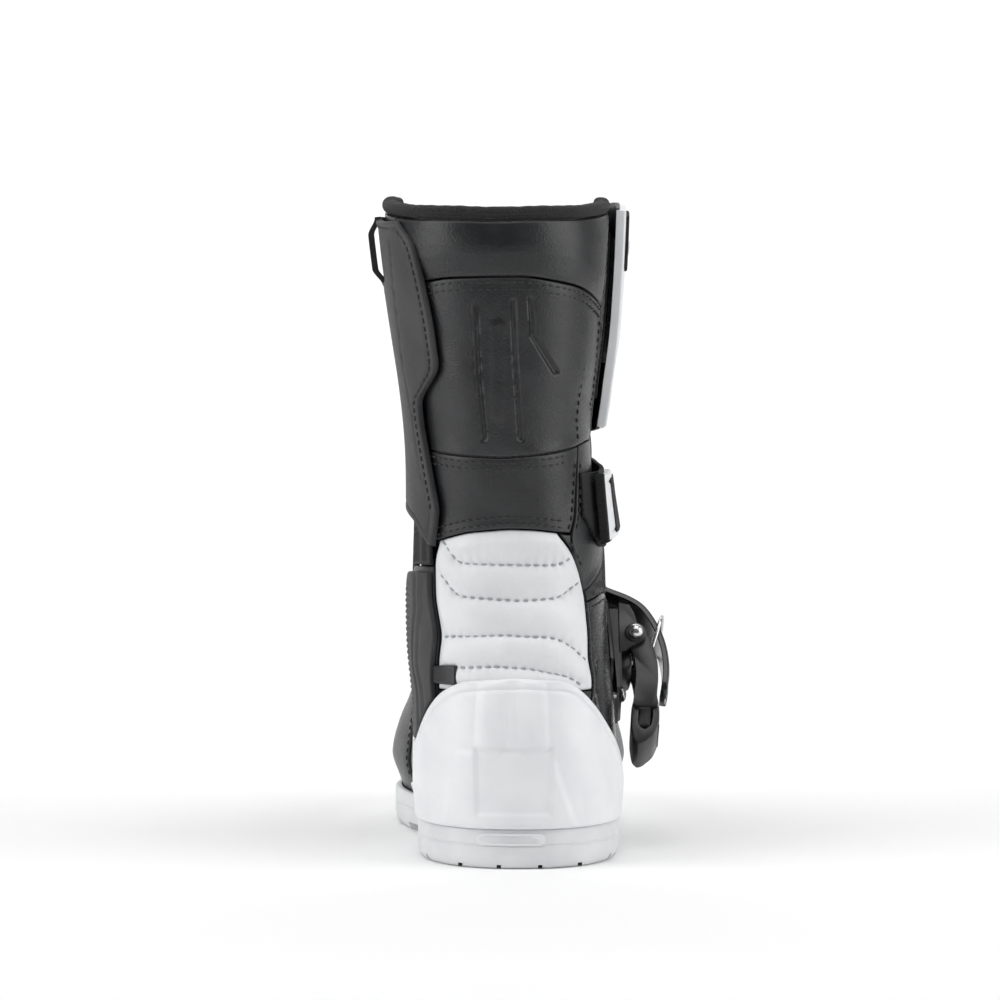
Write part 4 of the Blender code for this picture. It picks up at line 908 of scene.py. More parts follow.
QUILT_ROWS = [
    straight([(-40, 66.0), (40, 64.0)]),
    straight([(-33, 75.2), (-21, 74.7), (-9, 75.5), (4, 74.7), (19, 71.3), (25, 66.6), (34, 60.0)]),
    straight([(-34, 85.0), (-27.8, 86.0), (-5.2, 87.1), (13.6, 86.0), (21.2, 81.5), (24, 77.7), (34, 70.0)]),
    straight([(-34, 113.0), (-28.9, 109.7), (-24, 101.4), (0.5, 99.9), (15.5, 100.7), (20, 104.8), (30, 110)]),
    straight([(-34, 127.0), (-27, 121.0), (-24, 113.9), (15.5, 113.1), (19.3, 115.4), (30, 124.0)]),
    straight([(-34, 129.0), (-24, 126.2), (0, 128.0), (14, 127.4), (30, 124.2)]),
]
QUILT_LIFT = (1.2, 1.8, 2.1, 1.9, 1.3)


def quilt_relief(p, u, z, gap):
    """Foam-filled channels between the stitched rows."""
    x, height = p[..., 0], p[..., 2]
    rows = [row(x) for row in QUILT_ROWS]
    result = np.zeros(x.shape)
    for low, high, lift in zip(rows[:-1], rows[1:], QUILT_LIFT):
        t = np.clip((height - low) / np.maximum(high - low, 0.5), 0, 1)
        room = np.clip((high - low) / 9.0, 0.25, 1.0)
        result = result + lift * room * (4 * t * (1 - t)) ** 0.75
    pull = 0.22 * np.sin(x * 1.9) * np.exp(-((result / 0.9) ** 2))
    return (result + pull) * smooth_step(gap / 5.0) - 0.1


def ribs_relief(pitch, depth, of="z"):
    def relief(p, u, z, gap):
        place = p[..., 2] if of == "z" else p[..., 1]
        return depth * np.sin(place * 2 * math.pi / pitch) * smooth_step(gap / 2.0)
    return relief


def leather_relief(p, u, z, gap):
    return crease(p) * smooth_step(gap / 4.0)


def vamp_relief(p, u, z, gap):
    """Bellows across the instep, over the ordinary unevenness."""
    bellows = 0.9 * np.abs(np.sin((p[..., 1] - 98) * math.pi / 7.5)) ** 0.7
    share = smooth_step((p[..., 1] - 98) / 6) * smooth_step((136 - p[..., 1]) / 6)
    share = share * smooth_step((36 - np.abs(p[..., 0] + 2)) / 8)
    return (crease(p) + bellows * share - 0.4 * share) * smooth_step(gap / 4.0)


def guard_relief(p, u, z, gap):
    """A ribbed field, and two stepped grooves beside the flex panel."""
    height, away = p[..., 2], (u - flex_medial_u(z)) * -30.0
    steps = straight([(40, 4.0), (66, 4.0), (74, 6.5), (88, 6.5), (95, 3.5), (112, 3.0)])(height)
    result = groove(away - steps, 1.0, -0.9) + groove(away - steps - 3.2, 1.0, -0.9)
    field_share = smooth_step((away - steps - 5.5) / 2) * smooth_step((gap - 3.0) / 1.5)
    result = result + 0.32 * np.sin(height * 2 * math.pi / 2.2) * field_share
    return result * smooth_step(gap / 1.5)


def toe_cap_relief(p, u, z, gap):
    return (groove(gap - 3.4, 0.9, -0.7) + groove(p[..., 2] - 20.5, 1.0, -0.6)) * smooth_step(gap / 1.5)


def make_foot():
    side = {"medial": shifted(flex_medial_u, SEAM_U), "lateral": shifted(flex_lateral_u, -SEAM_U)}
    panel("heel_upper", (side["medial"], side["lateral"]), (UPPER_BOTTOM, 65.4), (-1.3, 0), "leather",
          "foot", ["heel_leather"], relief=leather_relief)
    panel("outer_quarter", (shifted(flex_lateral_u, SEAM_U), shifted(vamp_u, -SEAM_U)),
          (UPPER_BOTTOM, QUARTER_TOP), (-1.3, 0), "gloss_leather", "foot", ["lateral_quarter"],
          relief=outer_quarter_relief, step=1.0)
    panel("inner_quarter", (shifted(vamp_medial, SEAM_U), shifted(flex_medial_u, -SEAM_U)),
          (UPPER_BOTTOM, QUARTER_TOP), (-1.3, 0), "leather", "foot", ["medial_quarter"],
          relief=leather_relief)
    panel("bellows_vamp", (shifted(vamp_u, SEAM_U), lambda z: 6 + vamp_medial(z) - SEAM_U),
          (UPPER_BOTTOM, 95.8), (-1.3, 0), "leather", "foot", ["vamp"], relief=vamp_relief, step=1.2)
    panel("moulded_heel_cup", (-1.5, 1.5), (OVERLAY_BOTTOM, COUNTER_TOP), (0.5, 2.6), "white", "foot",
          ["heel_counter"], relief=heel_counter_relief, step=0.75, edge=1.1)
    panel("moulded_toe_cap", (1.9, 4.1), (OVERLAY_BOTTOM, TOE_CAP_TOP), (0.5, 2.6), "white", "foot",
          ["toe_cap"], relief=toe_cap_relief, step=1.0, edge=1.1)
    panel("inner_grip_guard", (guard_front_u, shifted(flex_medial_u, -SEAM_U)),
          (lambda u: np.maximum(COUNTER_TOP(u) + 1.4, 30.0), GUARD_TOP), (0.5, 2.7), "rubber", "foot",
          ["medial_guard"], relief=guard_relief, step=0.8, edge=1.0)
    panel("outer_cuff_facing", (shifted(flex_lateral_u, SEAM_U), cuff_rear_u),
          (107.0, shifted(FLEX_TOP, -0.2)), (-1.4, -0.1), "leather", FLEX_ZONE, step=0.7)
    panel("ankle_hook_tab", (shifted(flex_medial_u, -0.05), lambda z: u_where(0, -23.0 + 0.0 * z, z, -1.0, 0.2)),
          (68.0, straight([(-0.75, 77.0), (-0.62, 74.4), (-0.45, 75.4)])), (-0.9, 1.6), "leather", "foot",
          step=0.7, edge=0.8)
    quilt = panel("quilted_flex_panel", (side["medial"], side["lateral"]), (66.0, FLEX_TOP), (-1.3, 0),
                  "white_leather", FLEX_ZONE, ["rear_flex_panel"], relief=quilt_relief, step=0.75, edge=1.2)
    panel("outer_elastic", (shifted(flex_lateral_u, SEAM_U), 2.0),
          (shifted(QUARTER_TOP, SEAM), shifted(CUFF_BOTTOM, -SEAM)), (-1.3, 0), "elastic",
          SIDE_ZONE, ["lateral_flex_gusset"], relief=ribs_relief(2.3, 0.35, "y"), step=0.7)
    panel("inner_elastic", (-2.2, SPLIT_U - SEAM_U), (shifted(QUARTER_TOP, SEAM), 130.6), (-1.3, 0),
          "elastic", SIDE_ZONE, ["medial_flex_gusset"], relief=ribs_relief(2.3, 0.35, "y"), step=0.7)
    panel("front_elastic", (2.03, 3.77), (shifted(FRONT_FOOT_TOP, SEAM), 129.2), (-3.0, -1.3), "elastic",
          FRONT_ZONE, ["front_flex_panel"], relief=ribs_relief(5.5, 0.7), step=0.9)
    ring_panel("inner_sock", (18.0, 90.5), (-4.7, -5.8), "mesh", "foot", ["foot_lining"])
    ring_panel("ankle_sock", (91.2, 113.4), (-4.7, -5.8), "mesh", FLEX_ZONE, ["ankle_lining"],
                         rows=30)


FLEX_ZONE = ((0, 12, 70), (0, 12, 122))
SIDE_ZONE = ((0, 60, 98), (0, 60, 128))
FRONT_ZONE = ((0, 105, 97), (0, 105, 129))


def outer_quarter_relief(p, u, z, gap):
    """Curved grooves behind the buckle, and a raised corner above them."""
    height, y = p[..., 2], p[..., 1]
    arc = 18 + 6 * ((height - 60) / 16) ** 2
    low = smooth_step((height - 46) / 4) * smooth_step((78 - height) / 4)
    result = (groove(y - arc, 1.0, -0.7) + groove(y - arc - 4.0, 1.0, -0.7)) * low
    return (result + crease(p)) * smooth_step(gap / 3.0)


# --- shaft --------------------------------------------------------------------------------------------------
CALF_LEFT = [(-16.4, 211.0), (-15.3, 185.0), (-13.0, 161.0)]
CALF_RIGHT = [(-2.2, 211.9), (-1.1, 187.0), (0.8, 161.0)]
CALF_ANGLE = [(4.4, 213.0), (5.3, 199.2), (13.8, 186.1)]
CALF_OVAL = (-7.8, 186.5, 3.4, 19.5)


def calf_relief(p, u, z, gap):
    """Pressed lines down the calf, and a low plain pad between them."""
    x, height = p[..., 0], p[..., 2]
    behind = (p[..., 1] < 40) * 1.0
    result = np.zeros(x.shape)
    for line in (CALF_LEFT, CALF_RIGHT, CALF_ANGLE):
        result = result + groove(to_polyline(x, height, line), 1.5, -1.15)
    cx, cz, half_w, half_h = CALF_OVAL
    ring = np.hypot(x - cx, np.maximum(np.abs(height - cz) - half_h + half_w, 0)) / half_w
    result = result + 0.45 * smooth_step((1.15 - ring) / 0.9)
    return result * behind * smooth_step(gap / 3) + crease(p, 0.3) * smooth_step(gap / 4.0)


def collar_relief(p, u, z, gap):
    """The padded collar swells between its seam and its binding."""
    return 1.5 * np.clip(gap / 9.0, 0, 1) ** 0.6 * (1 - 0.15 * np.sin(p[..., 0] / 6)) + crease(p, 0.25)


def cuff_relief(p, u, z, gap):
    """A moulded rubber cuff: a raised border, a shallow field and a cross of flow lines."""
    border = groove(gap - 3.2, 0.8, -0.7)
    lines = groove(to_polyline(p[..., 1], p[..., 2], [(24, 236), (30, 190), (26, 146)]), 1.0, -0.5)
    lines = lines + groove(to_polyline(p[..., 1], p[..., 2], [(60, 236), (54, 190), (58, 150)]), 1.0, -0.5)
    recess = smooth_step((u + 1.95) / 0.12) * smooth_step((-0.88 - u) / 0.12)
    recess = recess * smooth_step((p[..., 2] - 220.5) / 2.5) * smooth_step((243.0 - p[..., 2]) / 2.5)
    return (border + lines * (1 - recess)) * smooth_step(gap / 1.2) - 1.9 * recess


def tongue_relief(p, u, z, gap):
    return (1.6 * np.abs(np.sin((p[..., 2] - 132) * math.pi / 17.0)) ** 0.6) * smooth_step(gap / 5.0) - 0.6


def make_shaft():
    leather_edge = shifted(GUSSET_U, -SEAM_U)
    band = panel("ankle_band", (SPLIT_U + SEAM_U, shifted(cuff_rear_u, -SEAM_U)),
                 (shifted(FLEX_TOP, SEAM), shifted(BAND_TOP, -SEAM / 2)), (-1.3, 0), "leather", "shaft",
                 ["mid_band_panel"], relief=leather_relief)
    band.data.materials[0] = LOOKS["leather"]
    panel("pressed_calf_panel", (SPLIT_U + SEAM_U, leather_edge),
          (shifted(BAND_TOP, SEAM / 2), shifted(CALF_TOP, -SEAM / 2)), (-1.3, 0), "leather", "shaft",
          ["calf_panel"], relief=calf_relief, step=0.5)
    collar = panel("padded_collar", (SPLIT_U + SEAM_U, leather_edge), (shifted(CALF_TOP, SEAM / 2), COLLAR),
                   (-1.3, 0), "leather", "shaft", ["collar_panel"], relief=collar_relief, step=1.0)
    panel("outer_cuff", (shifted(cuff_rear_u, SEAM_U), TONGUE_U - SEAM_U),
          (CUFF_BOTTOM, shifted(BAND_TOP, -SEAM / 2)), (-1.3, 0), "leather", "shaft",
          ["lateral_cuff_panel"], relief=leather_relief)
    panel("calf_elastic", (shifted(GUSSET_U, SEAM_U), TONGUE_U - SEAM_U), (shifted(BAND_TOP, SEAM / 2), COLLAR),
          (-1.3, 0), "elastic", "shaft", ["elastic_gusset"], relief=ribs_relief(2.4, 0.4, "y"), step=0.7)
    panel("inner_shaft", (FLAP_ROOT_U, SPLIT_U - SEAM_U), (131.4, COLLAR), (-1.3, 0), "leather", "shaft",
          ["medial_shaft_panel"], relief=leather_relief)
    tongue = panel("padded_tongue", (TONGUE_U + SEAM_U, FLAP_ROOT_U + 6 - SEAM_U), (130.0, 251.5), (-1.3, 0),
                   "knit", "shaft", ["tongue"], relief=tongue_relief, step=1.1)
    panel("inner_rubber_cuff", (-2.15, cuff_edge_u), (MEDIAL_CUFF_BOTTOM, MEDIAL_CUFF_TOP), (1.3, 3.7),
          "rubber", "shaft", ["medial_cuff_panel"], relief=cuff_relief, step=0.8, edge=1.1)
    make_binding()
    lining = ring_panel("leg_lining", (114.0, COLLAR), (-4.7, -5.8), "mesh", "shaft",
                                      ["shaft_lining"], relief=lining_relief)
    foam = panel("collar_padding", (FLAP_ROOT_U + 0.1, TONGUE_U - 0.1), (221.0, shifted(COLLAR, -1.0)),
                 (-4.4, -1.6), "foam", "shaft", ["collar_foam"], step=2.5, edge=1.2)
    foam = panel("calf_padding", (-0.9, 0.85), (132.0, 206.0), (-4.4, -1.6), "foam", "shaft", ["calf_foam"],
                 step=2.5, edge=1.2)
    for name, node, low, high in (("outer_ankle_padding", "lateral_ankle_pad", 0.9, 1.45),
                                  ("inner_ankle_padding", "medial_ankle_pad", -1.45, -0.9)):
        panel(name, (low, high), (64.0, 88.0), (-4.4, -1.6), "foam", "foot", [node], step=2.0,
                        edge=1.2)
    panel("strap_loop_pad", (0.62, 1.75), (straight([(0.6, 133.0), (0.85, 120.0), (1.0, 118.6), (2, 118.6)]), 147.6),
          (0.3, 1.3), "hook", "shaft",
          ["strap_loop_patch"], step=1.0, edge=0.5)
    panel("flap_loop_pad", (1.28, 1.85), (176.0, 240.0), (0.3, 1.3), "hook", "shaft",
          ["flap_loop_patch"], step=1.0, edge=0.5)
    make_pull_loop()


def lining_relief(p, u, z):
    """Sewn channels of the padded leg lining, on its inner face."""
    channels = np.abs(np.sin(u * math.pi * 2.0)) ** 0.5 * smooth_step((p[..., 2] - 120) / 12)
    return -1.1 * channels * smooth_step((242 - p[..., 2]) / 8)


def make_binding():
    """A soft knitted roll over the collar's edge."""
    columns, rows = 320, 22
    u = np.linspace(FLAP_ROOT_U + 0.06, TONGUE_U, columns)
    base_z = COLLAR(u)
    a = np.linspace(0, 2 * math.pi, rows, endpoint=False)
    rings = []
    for k in range(columns):
        end = min(k, columns - 1 - k) / 3.0
        size = math.sqrt(max(0.0, 1 - (1 - min(1, (end + 0.05))) ** 2))
        sag = 0.18 * math.sin(k * 0.9) + 0.12 * math.sin(k * 0.37 + 1)
        across, tall = 3.0 * size, (2.45 + sag * 0.4) * size
        offset = -2.4 + np.sign(np.cos(a)) * np.abs(np.cos(a)) ** 0.8 * across
        z = base_z[k] + 3.0 + np.sign(np.sin(a)) * np.abs(np.sin(a)) ** 0.8 * tall
        rings.append(skin(np.full(rows, u[k]), z, offset))
    points, faces = stack_rings(rings)
    flat = np.stack([np.repeat(np.arange(columns) * 0.9, rows), np.tile(a * 2.6, columns)], -1)
    binding = make_object("knitted_collar_binding", points, faces, "knit", flat)
    settle(binding, "shaft", ["collar_binding"])


def make_pull_loop():
    columns, rows = 13, 90
    u = np.linspace(-1.32, -1.08, columns)[:, None] * np.ones((1, rows))
    t = np.linspace(0, 1, rows)[None, :] * np.ones((columns, 1))
    z = 220.0 + 26.0 * t
    lift = 1.6 + 3.2 * smooth_step(np.minimum(t, 1 - t) / 0.26)
    crown = 0.15 * (1 - np.linspace(-1, 1, columns)[:, None] ** 4)
    face, back = skin(u, z, lift + 2.2 + crown), skin(u, z, lift)
    flat = np.stack([lengths(face, 0), lengths(face, 1)], -1).reshape(-1, 2)
    loop = make_object("webbing_pull_loop", np.concatenate([face.reshape(-1, 3), back.reshape(-1, 3)]),
                       grid_faces(columns, rows), "webbing", np.concatenate([flat, flat]),
                       np.zeros(2 * columns * rows))
    settle(loop, "shaft", ["pull_loop"])
    for z_at in (222.0, 244.0):
        u_row = np.linspace(-1.30, -1.10, 12)
        p = wall(u_row, np.full(12, z_at))
        n = normal(p)
        stitch_line(("shaft_stitching", "black_thread", "shaft"), p + n * 4.2, n, pitch=2.0, length=1.5, radius=0.25)


# --- flap and ankle strap ---------------------------------------------------------------------------------------
def stacked(low, high):
    return (lambda u: flap_base(u) + low, lambda u: flap_base(u) + high)


def plate_relief(p, u, z, gap):
    """Moulded shin plate: a stepped border and four shallow arched grooves across its field."""
    result = groove(gap - 3.6, 1.0, -0.6) + 0.8 * smooth_step((gap - 5) / 6)
    x, height = p[..., 0], p[..., 2]
    width = smooth_step((26 - np.abs(x + 5)) / 5) * (p[..., 1] > 70)
    for level in (180.0, 195.0, 210.0, 225.0):
        result = result + groove(height - level - 0.006 * (x + 5) ** 2, 1.8, -0.9) * width
    return result * smooth_step(gap / 1.6)


def make_flap():
    panel("shin_flap_leather", (shifted(FLAP_EDGE_U, 0.05), FLAP_HINGE_U), (FLAP_BOTTOM, FLAP_TOP),
          stacked(0.0, 1.5), "leather", "shin_flap", ["flap_leather"], step=1.4, edge=0.7)
    panel("moulded_shin_plate", (FLAP_EDGE_U, 3.6), (shifted(FLAP_BOTTOM, 0.8), shifted(FLAP_TOP, -0.6)),
          stacked(0.2, 4.0), "white", "shin_flap", ["shin_plate"], relief=plate_relief, step=0.9, edge=1.2)
    panel("flap_hook_pad", (1.36, 1.82), (190.0, 238.0), (1.7, 2.9), "hook", "shin_flap",
          ["flap_hook_patch"], step=1.2, edge=0.4)
    panel("flap_edge_trim", (1.24, 1.62), (shifted(FLAP_TOP, -24.0), shifted(FLAP_TOP, -3.0)),
          stacked(4.1, 5.3), "webbing", "shin_flap", ["flap_trim"], step=0.7, edge=0.6)
    panel("plain_tag", (1.235, 1.30), (shifted(FLAP_TOP, -17.5), shifted(FLAP_TOP, -12.5)),
          stacked(5.25, 5.75), "white", "shin_flap", step=0.5, edge=0.25)


def make_mid_strap():
    base = (lambda u: strap_base(u), lambda u: strap_base(u) + 1.6)
    strap = panel("ankle_strap_webbing", (0.80, FLAP_HINGE_U), (STRAP_LOW, STRAP_HIGH), base, "webbing",
                  "mid_strap", ["strap_webbing"], step=0.9, edge=0.6)
    panel("strap_end_guard", (0.78, 1.42), (shifted(STRAP_LOW, 1.4), shifted(STRAP_HIGH, -1.4)),
          (lambda u: strap_base(u) + 1.7, lambda u: strap_base(u) + 4.3), "white", "mid_strap",
          ["strap_end_plate"], step=0.7, edge=1.1,
          relief=lambda p, u, z, gap: (groove(gap - 3.2, 0.8, -0.6)) * smooth_step(gap / 1.2))
    panel("strap_outer_band", (0.92, 1.38), (shifted(STRAP_LOW, 3.4), shifted(STRAP_HIGH, -3.4)),
          (lambda u: strap_base(u) + 3.7, lambda u: strap_base(u) + 4.8), "webbing", "mid_strap", step=0.8,
          edge=0.4)
    panel("strap_edge_band", (0.765, 0.80), (shifted(STRAP_LOW, 0.8), shifted(STRAP_HIGH, -0.8)),
          (lambda u: strap_base(u) + 0.6, lambda u: strap_base(u) + 4.0), "webbing", "mid_strap", step=0.6,
          edge=0.5)
    panel("strap_hook_pad", (0.84, 1.5), (123.0, 145.0), (1.5, 2.9), "hook", "mid_strap",
          ["strap_hook_patch"], step=1.0, edge=0.4)


# --- instep buckle -------------------------------------------------------------------------------------------------
TILT = math.radians(36.0)
PIVOT = np.array([46.0, 76.0, 76.0])
UP, SIDE, OUT = (np.array(v) for v in ((0, math.sin(TILT), math.cos(TILT)),
                                      (0, math.cos(TILT), -math.sin(TILT)), (1.0, 0, 0)))
BASE_UP, BASE_FACE, PIN_RADIUS, RIVET_UP = (-25.0, 11.0), -5.6, 1.6, -20.0
STRAP_HALF, BAIL_HALF, BAIL_WIRE, ARM_HALF, EAR_HALF = 7.0, 8.3, 0.8, (9.4, 11.6), (12.0, 13.8)
BAIL_PIVOT, BAIL_BAR, LOOP_HALF = (4.0, -14.0), (10.9, 11.6), 9.8


def buckle_point(out, up, across):
    out, up, across = np.broadcast_arrays(*(np.asarray(v, float) for v in (out, up, across)))
    return PIVOT + out[..., None] * OUT + up[..., None] * UP + across[..., None] * SIDE


def wall_out(up, across):
    p = buckle_point(0.0, up, across)
    start = np.stack([np.zeros(p.shape[:-1]), p[..., 1], p[..., 2]], -1)
    return cast(start, np.broadcast_to(OUT, start.shape))[..., 0] - PIVOT[0]


def smooth_outline(corners, count=10, tightness=0.28):
    """A closed outline with its corners rounded by short arcs."""
    corners = np.array(corners, float)
    result = []
    for k in range(len(corners)):
        before, here, after = corners[k - 1], corners[k], corners[(k + 1) % len(corners)]
        a, b = here + (before - here) * tightness, here + (after - here) * tightness
        for t in np.linspace(0, 1, max(2, count // 3)):
            result.append((1 - t) ** 2 * a + 2 * t * (1 - t) * here + t * t * b)
    return np.array(result)


def prism(name, corners, low, high, look, rounding=0.5, smooth=True):
    """An outline of (out, up) pushed across the buckle from low to high, with rounded rims."""
    flat = smooth_outline(corners) if smooth else np.array(corners, float)
    centre = flat.mean(0)
    rings = []
    low, high = min(low, high), max(low, high)
    for depth, inset in ((low, rounding), (low + rounding * 0.3, rounding * 0.3), (low + rounding, 0),
                         (high - rounding, 0), (high - rounding * 0.3, rounding * 0.3), (high, rounding)):
        away = flat - centre
        reach = np.linalg.norm(away, axis=1, keepdims=True)
        moved = centre + away * np.clip(1 - inset / np.maximum(reach, 1e-6), 0, 1)
        rings.append(buckle_point(moved[:, 0], moved[:, 1], depth))
    points, faces = stack_rings(rings)
    return make_object(name, points, faces, look)


def turned(name, profile, centre, axis, look, sides=48):
    axis = np.array(axis, float) / np.linalg.norm(axis)
    first = np.cross(axis, [0.3, 0.9, 0.2])
    first /= np.linalg.norm(first)
    second = np.cross(axis, first)
    a = np.linspace(0, 2 * math.pi, sides, endpoint=False)[:, None]
    rings = [centre + axis * h + r * (np.cos(a) * first + np.sin(a) * second) for r, h in profile]
    points, faces = stack_rings(rings)
    return make_object(name, points, faces, look)


def swept(name, path, radius, look, sides=16, spacing=0.5):
    """A round wire along a smooth path with rounded ends."""
    path = np.array(path, float)
    along = np.concatenate([[0], np.cumsum(np.linalg.norm(np.diff(path, axis=0), axis=1))])
    table = np.column_stack([along, path])
    s = np.linspace(0, along[-1], max(8, int(along[-1] / spacing)))
    fine = np.stack([curve(table, c)(s) for c in (1, 2, 3)], -1)
    tangents = np.gradient(fine, axis=0)
    tangents /= np.linalg.norm(tangents, axis=1, keepdims=True)
    side = np.cross(tangents[0], [0.31, 0.2, 0.93])
    a = np.linspace(0, 2 * math.pi, sides, endpoint=False)[:, None]
    rings = []
    for k, (point, tangent) in enumerate(zip(fine, tangents)):
        side = side - tangent * (side @ tangent)
        side /= np.linalg.norm(side)
        up = np.cross(tangent, side)
        ends = min(s[k], s[-1] - s[k]) / radius
        size = radius * math.sqrt(max(0.15, 1 - (1 - min(1, ends)) ** 2))
        rings.append(point + size * (np.cos(a) * side + np.sin(a) * up))
    points, faces = stack_rings(rings)
    return make_object(name, points, faces, look)


def slab(name, face, under, look):
    flat = np.stack([lengths(face, 0), lengths(face, 1)], -1).reshape(-1, 2)
    return make_object(name, np.concatenate([face.reshape(-1, 3), under.reshape(-1, 3)]),
                       grid_faces(*face.shape[:2]), look, np.concatenate([flat, flat]),
                       np.zeros(2 * face.shape[0] * face.shape[1]))


def arc(centre, radius, start, end, count):
    a = np.radians(np.linspace(start, end, count))
    return [(centre[0] + radius * math.cos(t), centre[1] + radius * math.sin(t)) for t in a]


def make_base():
    ups, across = np.linspace(*BASE_UP, 40)[:, None], np.linspace(-EAR_HALF[1], EAR_HALF[1], 30)[None, :]
    ups, across = np.broadcast_arrays(ups, across)
    gap = np.minimum(np.minimum(ups - BASE_UP[0], BASE_UP[1] - ups), EAR_HALF[1] - np.abs(across))
    soft = 1.1 * (1 - np.sqrt(np.clip(1 - (1 - np.clip(gap / 1.2, 0, 1)) ** 2, 0, 1)))
    ribs = -0.7 * smooth_step((3.2 - np.abs(ups + 6.5)) / 0.6) * smooth_step((7.5 - np.abs(across)) / 0.6)
    face = buckle_point(BASE_FACE - soft + ribs, ups, across)
    under = buckle_point(wall_out(ups, across) + 1.75, ups, across)
    base = slab("buckle_base_block", face, under, "plastic")
    ear = [(BASE_FACE - 0.8, -9.0)] + arc((0, 0), 4.4, -40, 80, 18) + [(-0.5, 9.5), (-2.2, 13.0), (BASE_FACE - 0.8, 14.0)]
    web = prism("buckle_base_web", [(-6.4, -14.0), (-2.2, -13.0), (-1.2, -9.0), (-2.8, -5.0), (-6.4, -5.0)],
                -9.0, 9.0, "plastic", 0.4)
    settle(web, "foot")
    for sign, side_name in ((1, "front"), (-1, "rear")):
        piece = prism(f"buckle_ear_{side_name}", ear, sign * EAR_HALF[0], sign * EAR_HALF[1], "plastic", 0.4, False)
        settle(piece, "foot")
    settle(base, "foot", ["buckle_base"])


def make_fasteners():
    head = [(0.2, 17.35), (1.2, 17.2), (2.1, 16.8), (2.7, 16.2), (3.0, 15.4), (3.0, 14.4), (2.7, 14.1), (PIN_RADIUS, 14.1)]
    profile = head + [(r, -h) for r, h in reversed(head)]
    settle(turned("lever_pin_domed", profile, PIVOT, SIDE, "steel"), "foot", ["lever_pin"])
    for sign in (1, -1):
        washer = [(1.8, 13.85), (3.9, 13.85), (4.1, 14.0), (4.1, 14.3), (3.9, 14.45), (3.1, 14.5), (1.8, 14.5)]
        rings = [(r, sign * h) for r, h in washer] + [(1.8, sign * 13.85)]
        settle(turned(f"pin_washer_{'front' if sign > 0 else 'rear'}", rings, PIVOT, SIDE, "plastic"),
               "foot")
    low = float(wall_out(RIVET_UP, 0.0)) + 0.5
    dome = [(1.5, low), (1.5, BASE_FACE), (3.0, BASE_FACE + 0.05), (3.2, BASE_FACE + 0.25),
            (3.15, BASE_FACE + 0.6), (2.7, BASE_FACE + 1.2), (1.9, BASE_FACE + 1.7), (0.9, BASE_FACE + 1.95),
            (0.2, BASE_FACE + 2.05)]
    settle(turned("base_rivet_domed", dome, buckle_point(0.0, RIVET_UP, 0.0), OUT, "steel"),
           "foot", ["base_rivet"])
    ups = np.linspace(-13.0, 13.0, 60)[:, None]
    across = np.linspace(-EAR_HALF[1] - 2.2, EAR_HALF[1] + 1.0, 44)[None, :]
    ups, across = np.broadcast_arrays(ups, across)
    gap = np.minimum(np.minimum(ups - ups.min(), ups.max() - ups),
                     np.minimum(across - across.min(), across.max() - across))
    soft = 0.35 * (1 - np.clip(gap / 0.6, 0, 1)) ** 2
    bead = 0.28 * np.clip(1 - ((gap - 1.5) / 0.6) ** 2, 0, 1)
    face = buckle_point(wall_out(ups, across) + 1.5 - soft + bead, ups, across)
    under = buckle_point(wall_out(ups, across) + 0.2, ups, across)
    settle(slab("buckle_bridge_plate", face, under, "strap"), "foot", ["bridge_plate"])
    for k, (out, reach) in enumerate(((0.55, 1.6), (1.45, 0.4))):
        up = np.linspace(-12.0, 12.0, 40)
        rim = buckle_point(wall_out(up, -EAR_HALF[1] - reach) + out, up, -EAR_HALF[1] - reach)
        settle(swept(f"bridge_plate_rim_{k}", rim, 0.3, "aluminium", 10, 0.6), "foot")
    turns, radius, pitch, steps = 2.25, 2.7, 1.7, 90
    path = [buckle_point(-4.6, 6.5, -6.0)]
    for k in range(steps + 1):
        a = math.radians(120) + 2 * math.pi * turns * k / steps
        path.append(buckle_point(radius * math.cos(a), radius * math.sin(a), -5.0 + pitch * turns * k / steps))
    path.append(buckle_point(-1.0, -7.0, -5.0 + pitch * turns + 0.4))
    settle(swept("lever_torsion_spring", path, 0.45, "steel", 10, 0.35), "foot", ["lever_spring"])


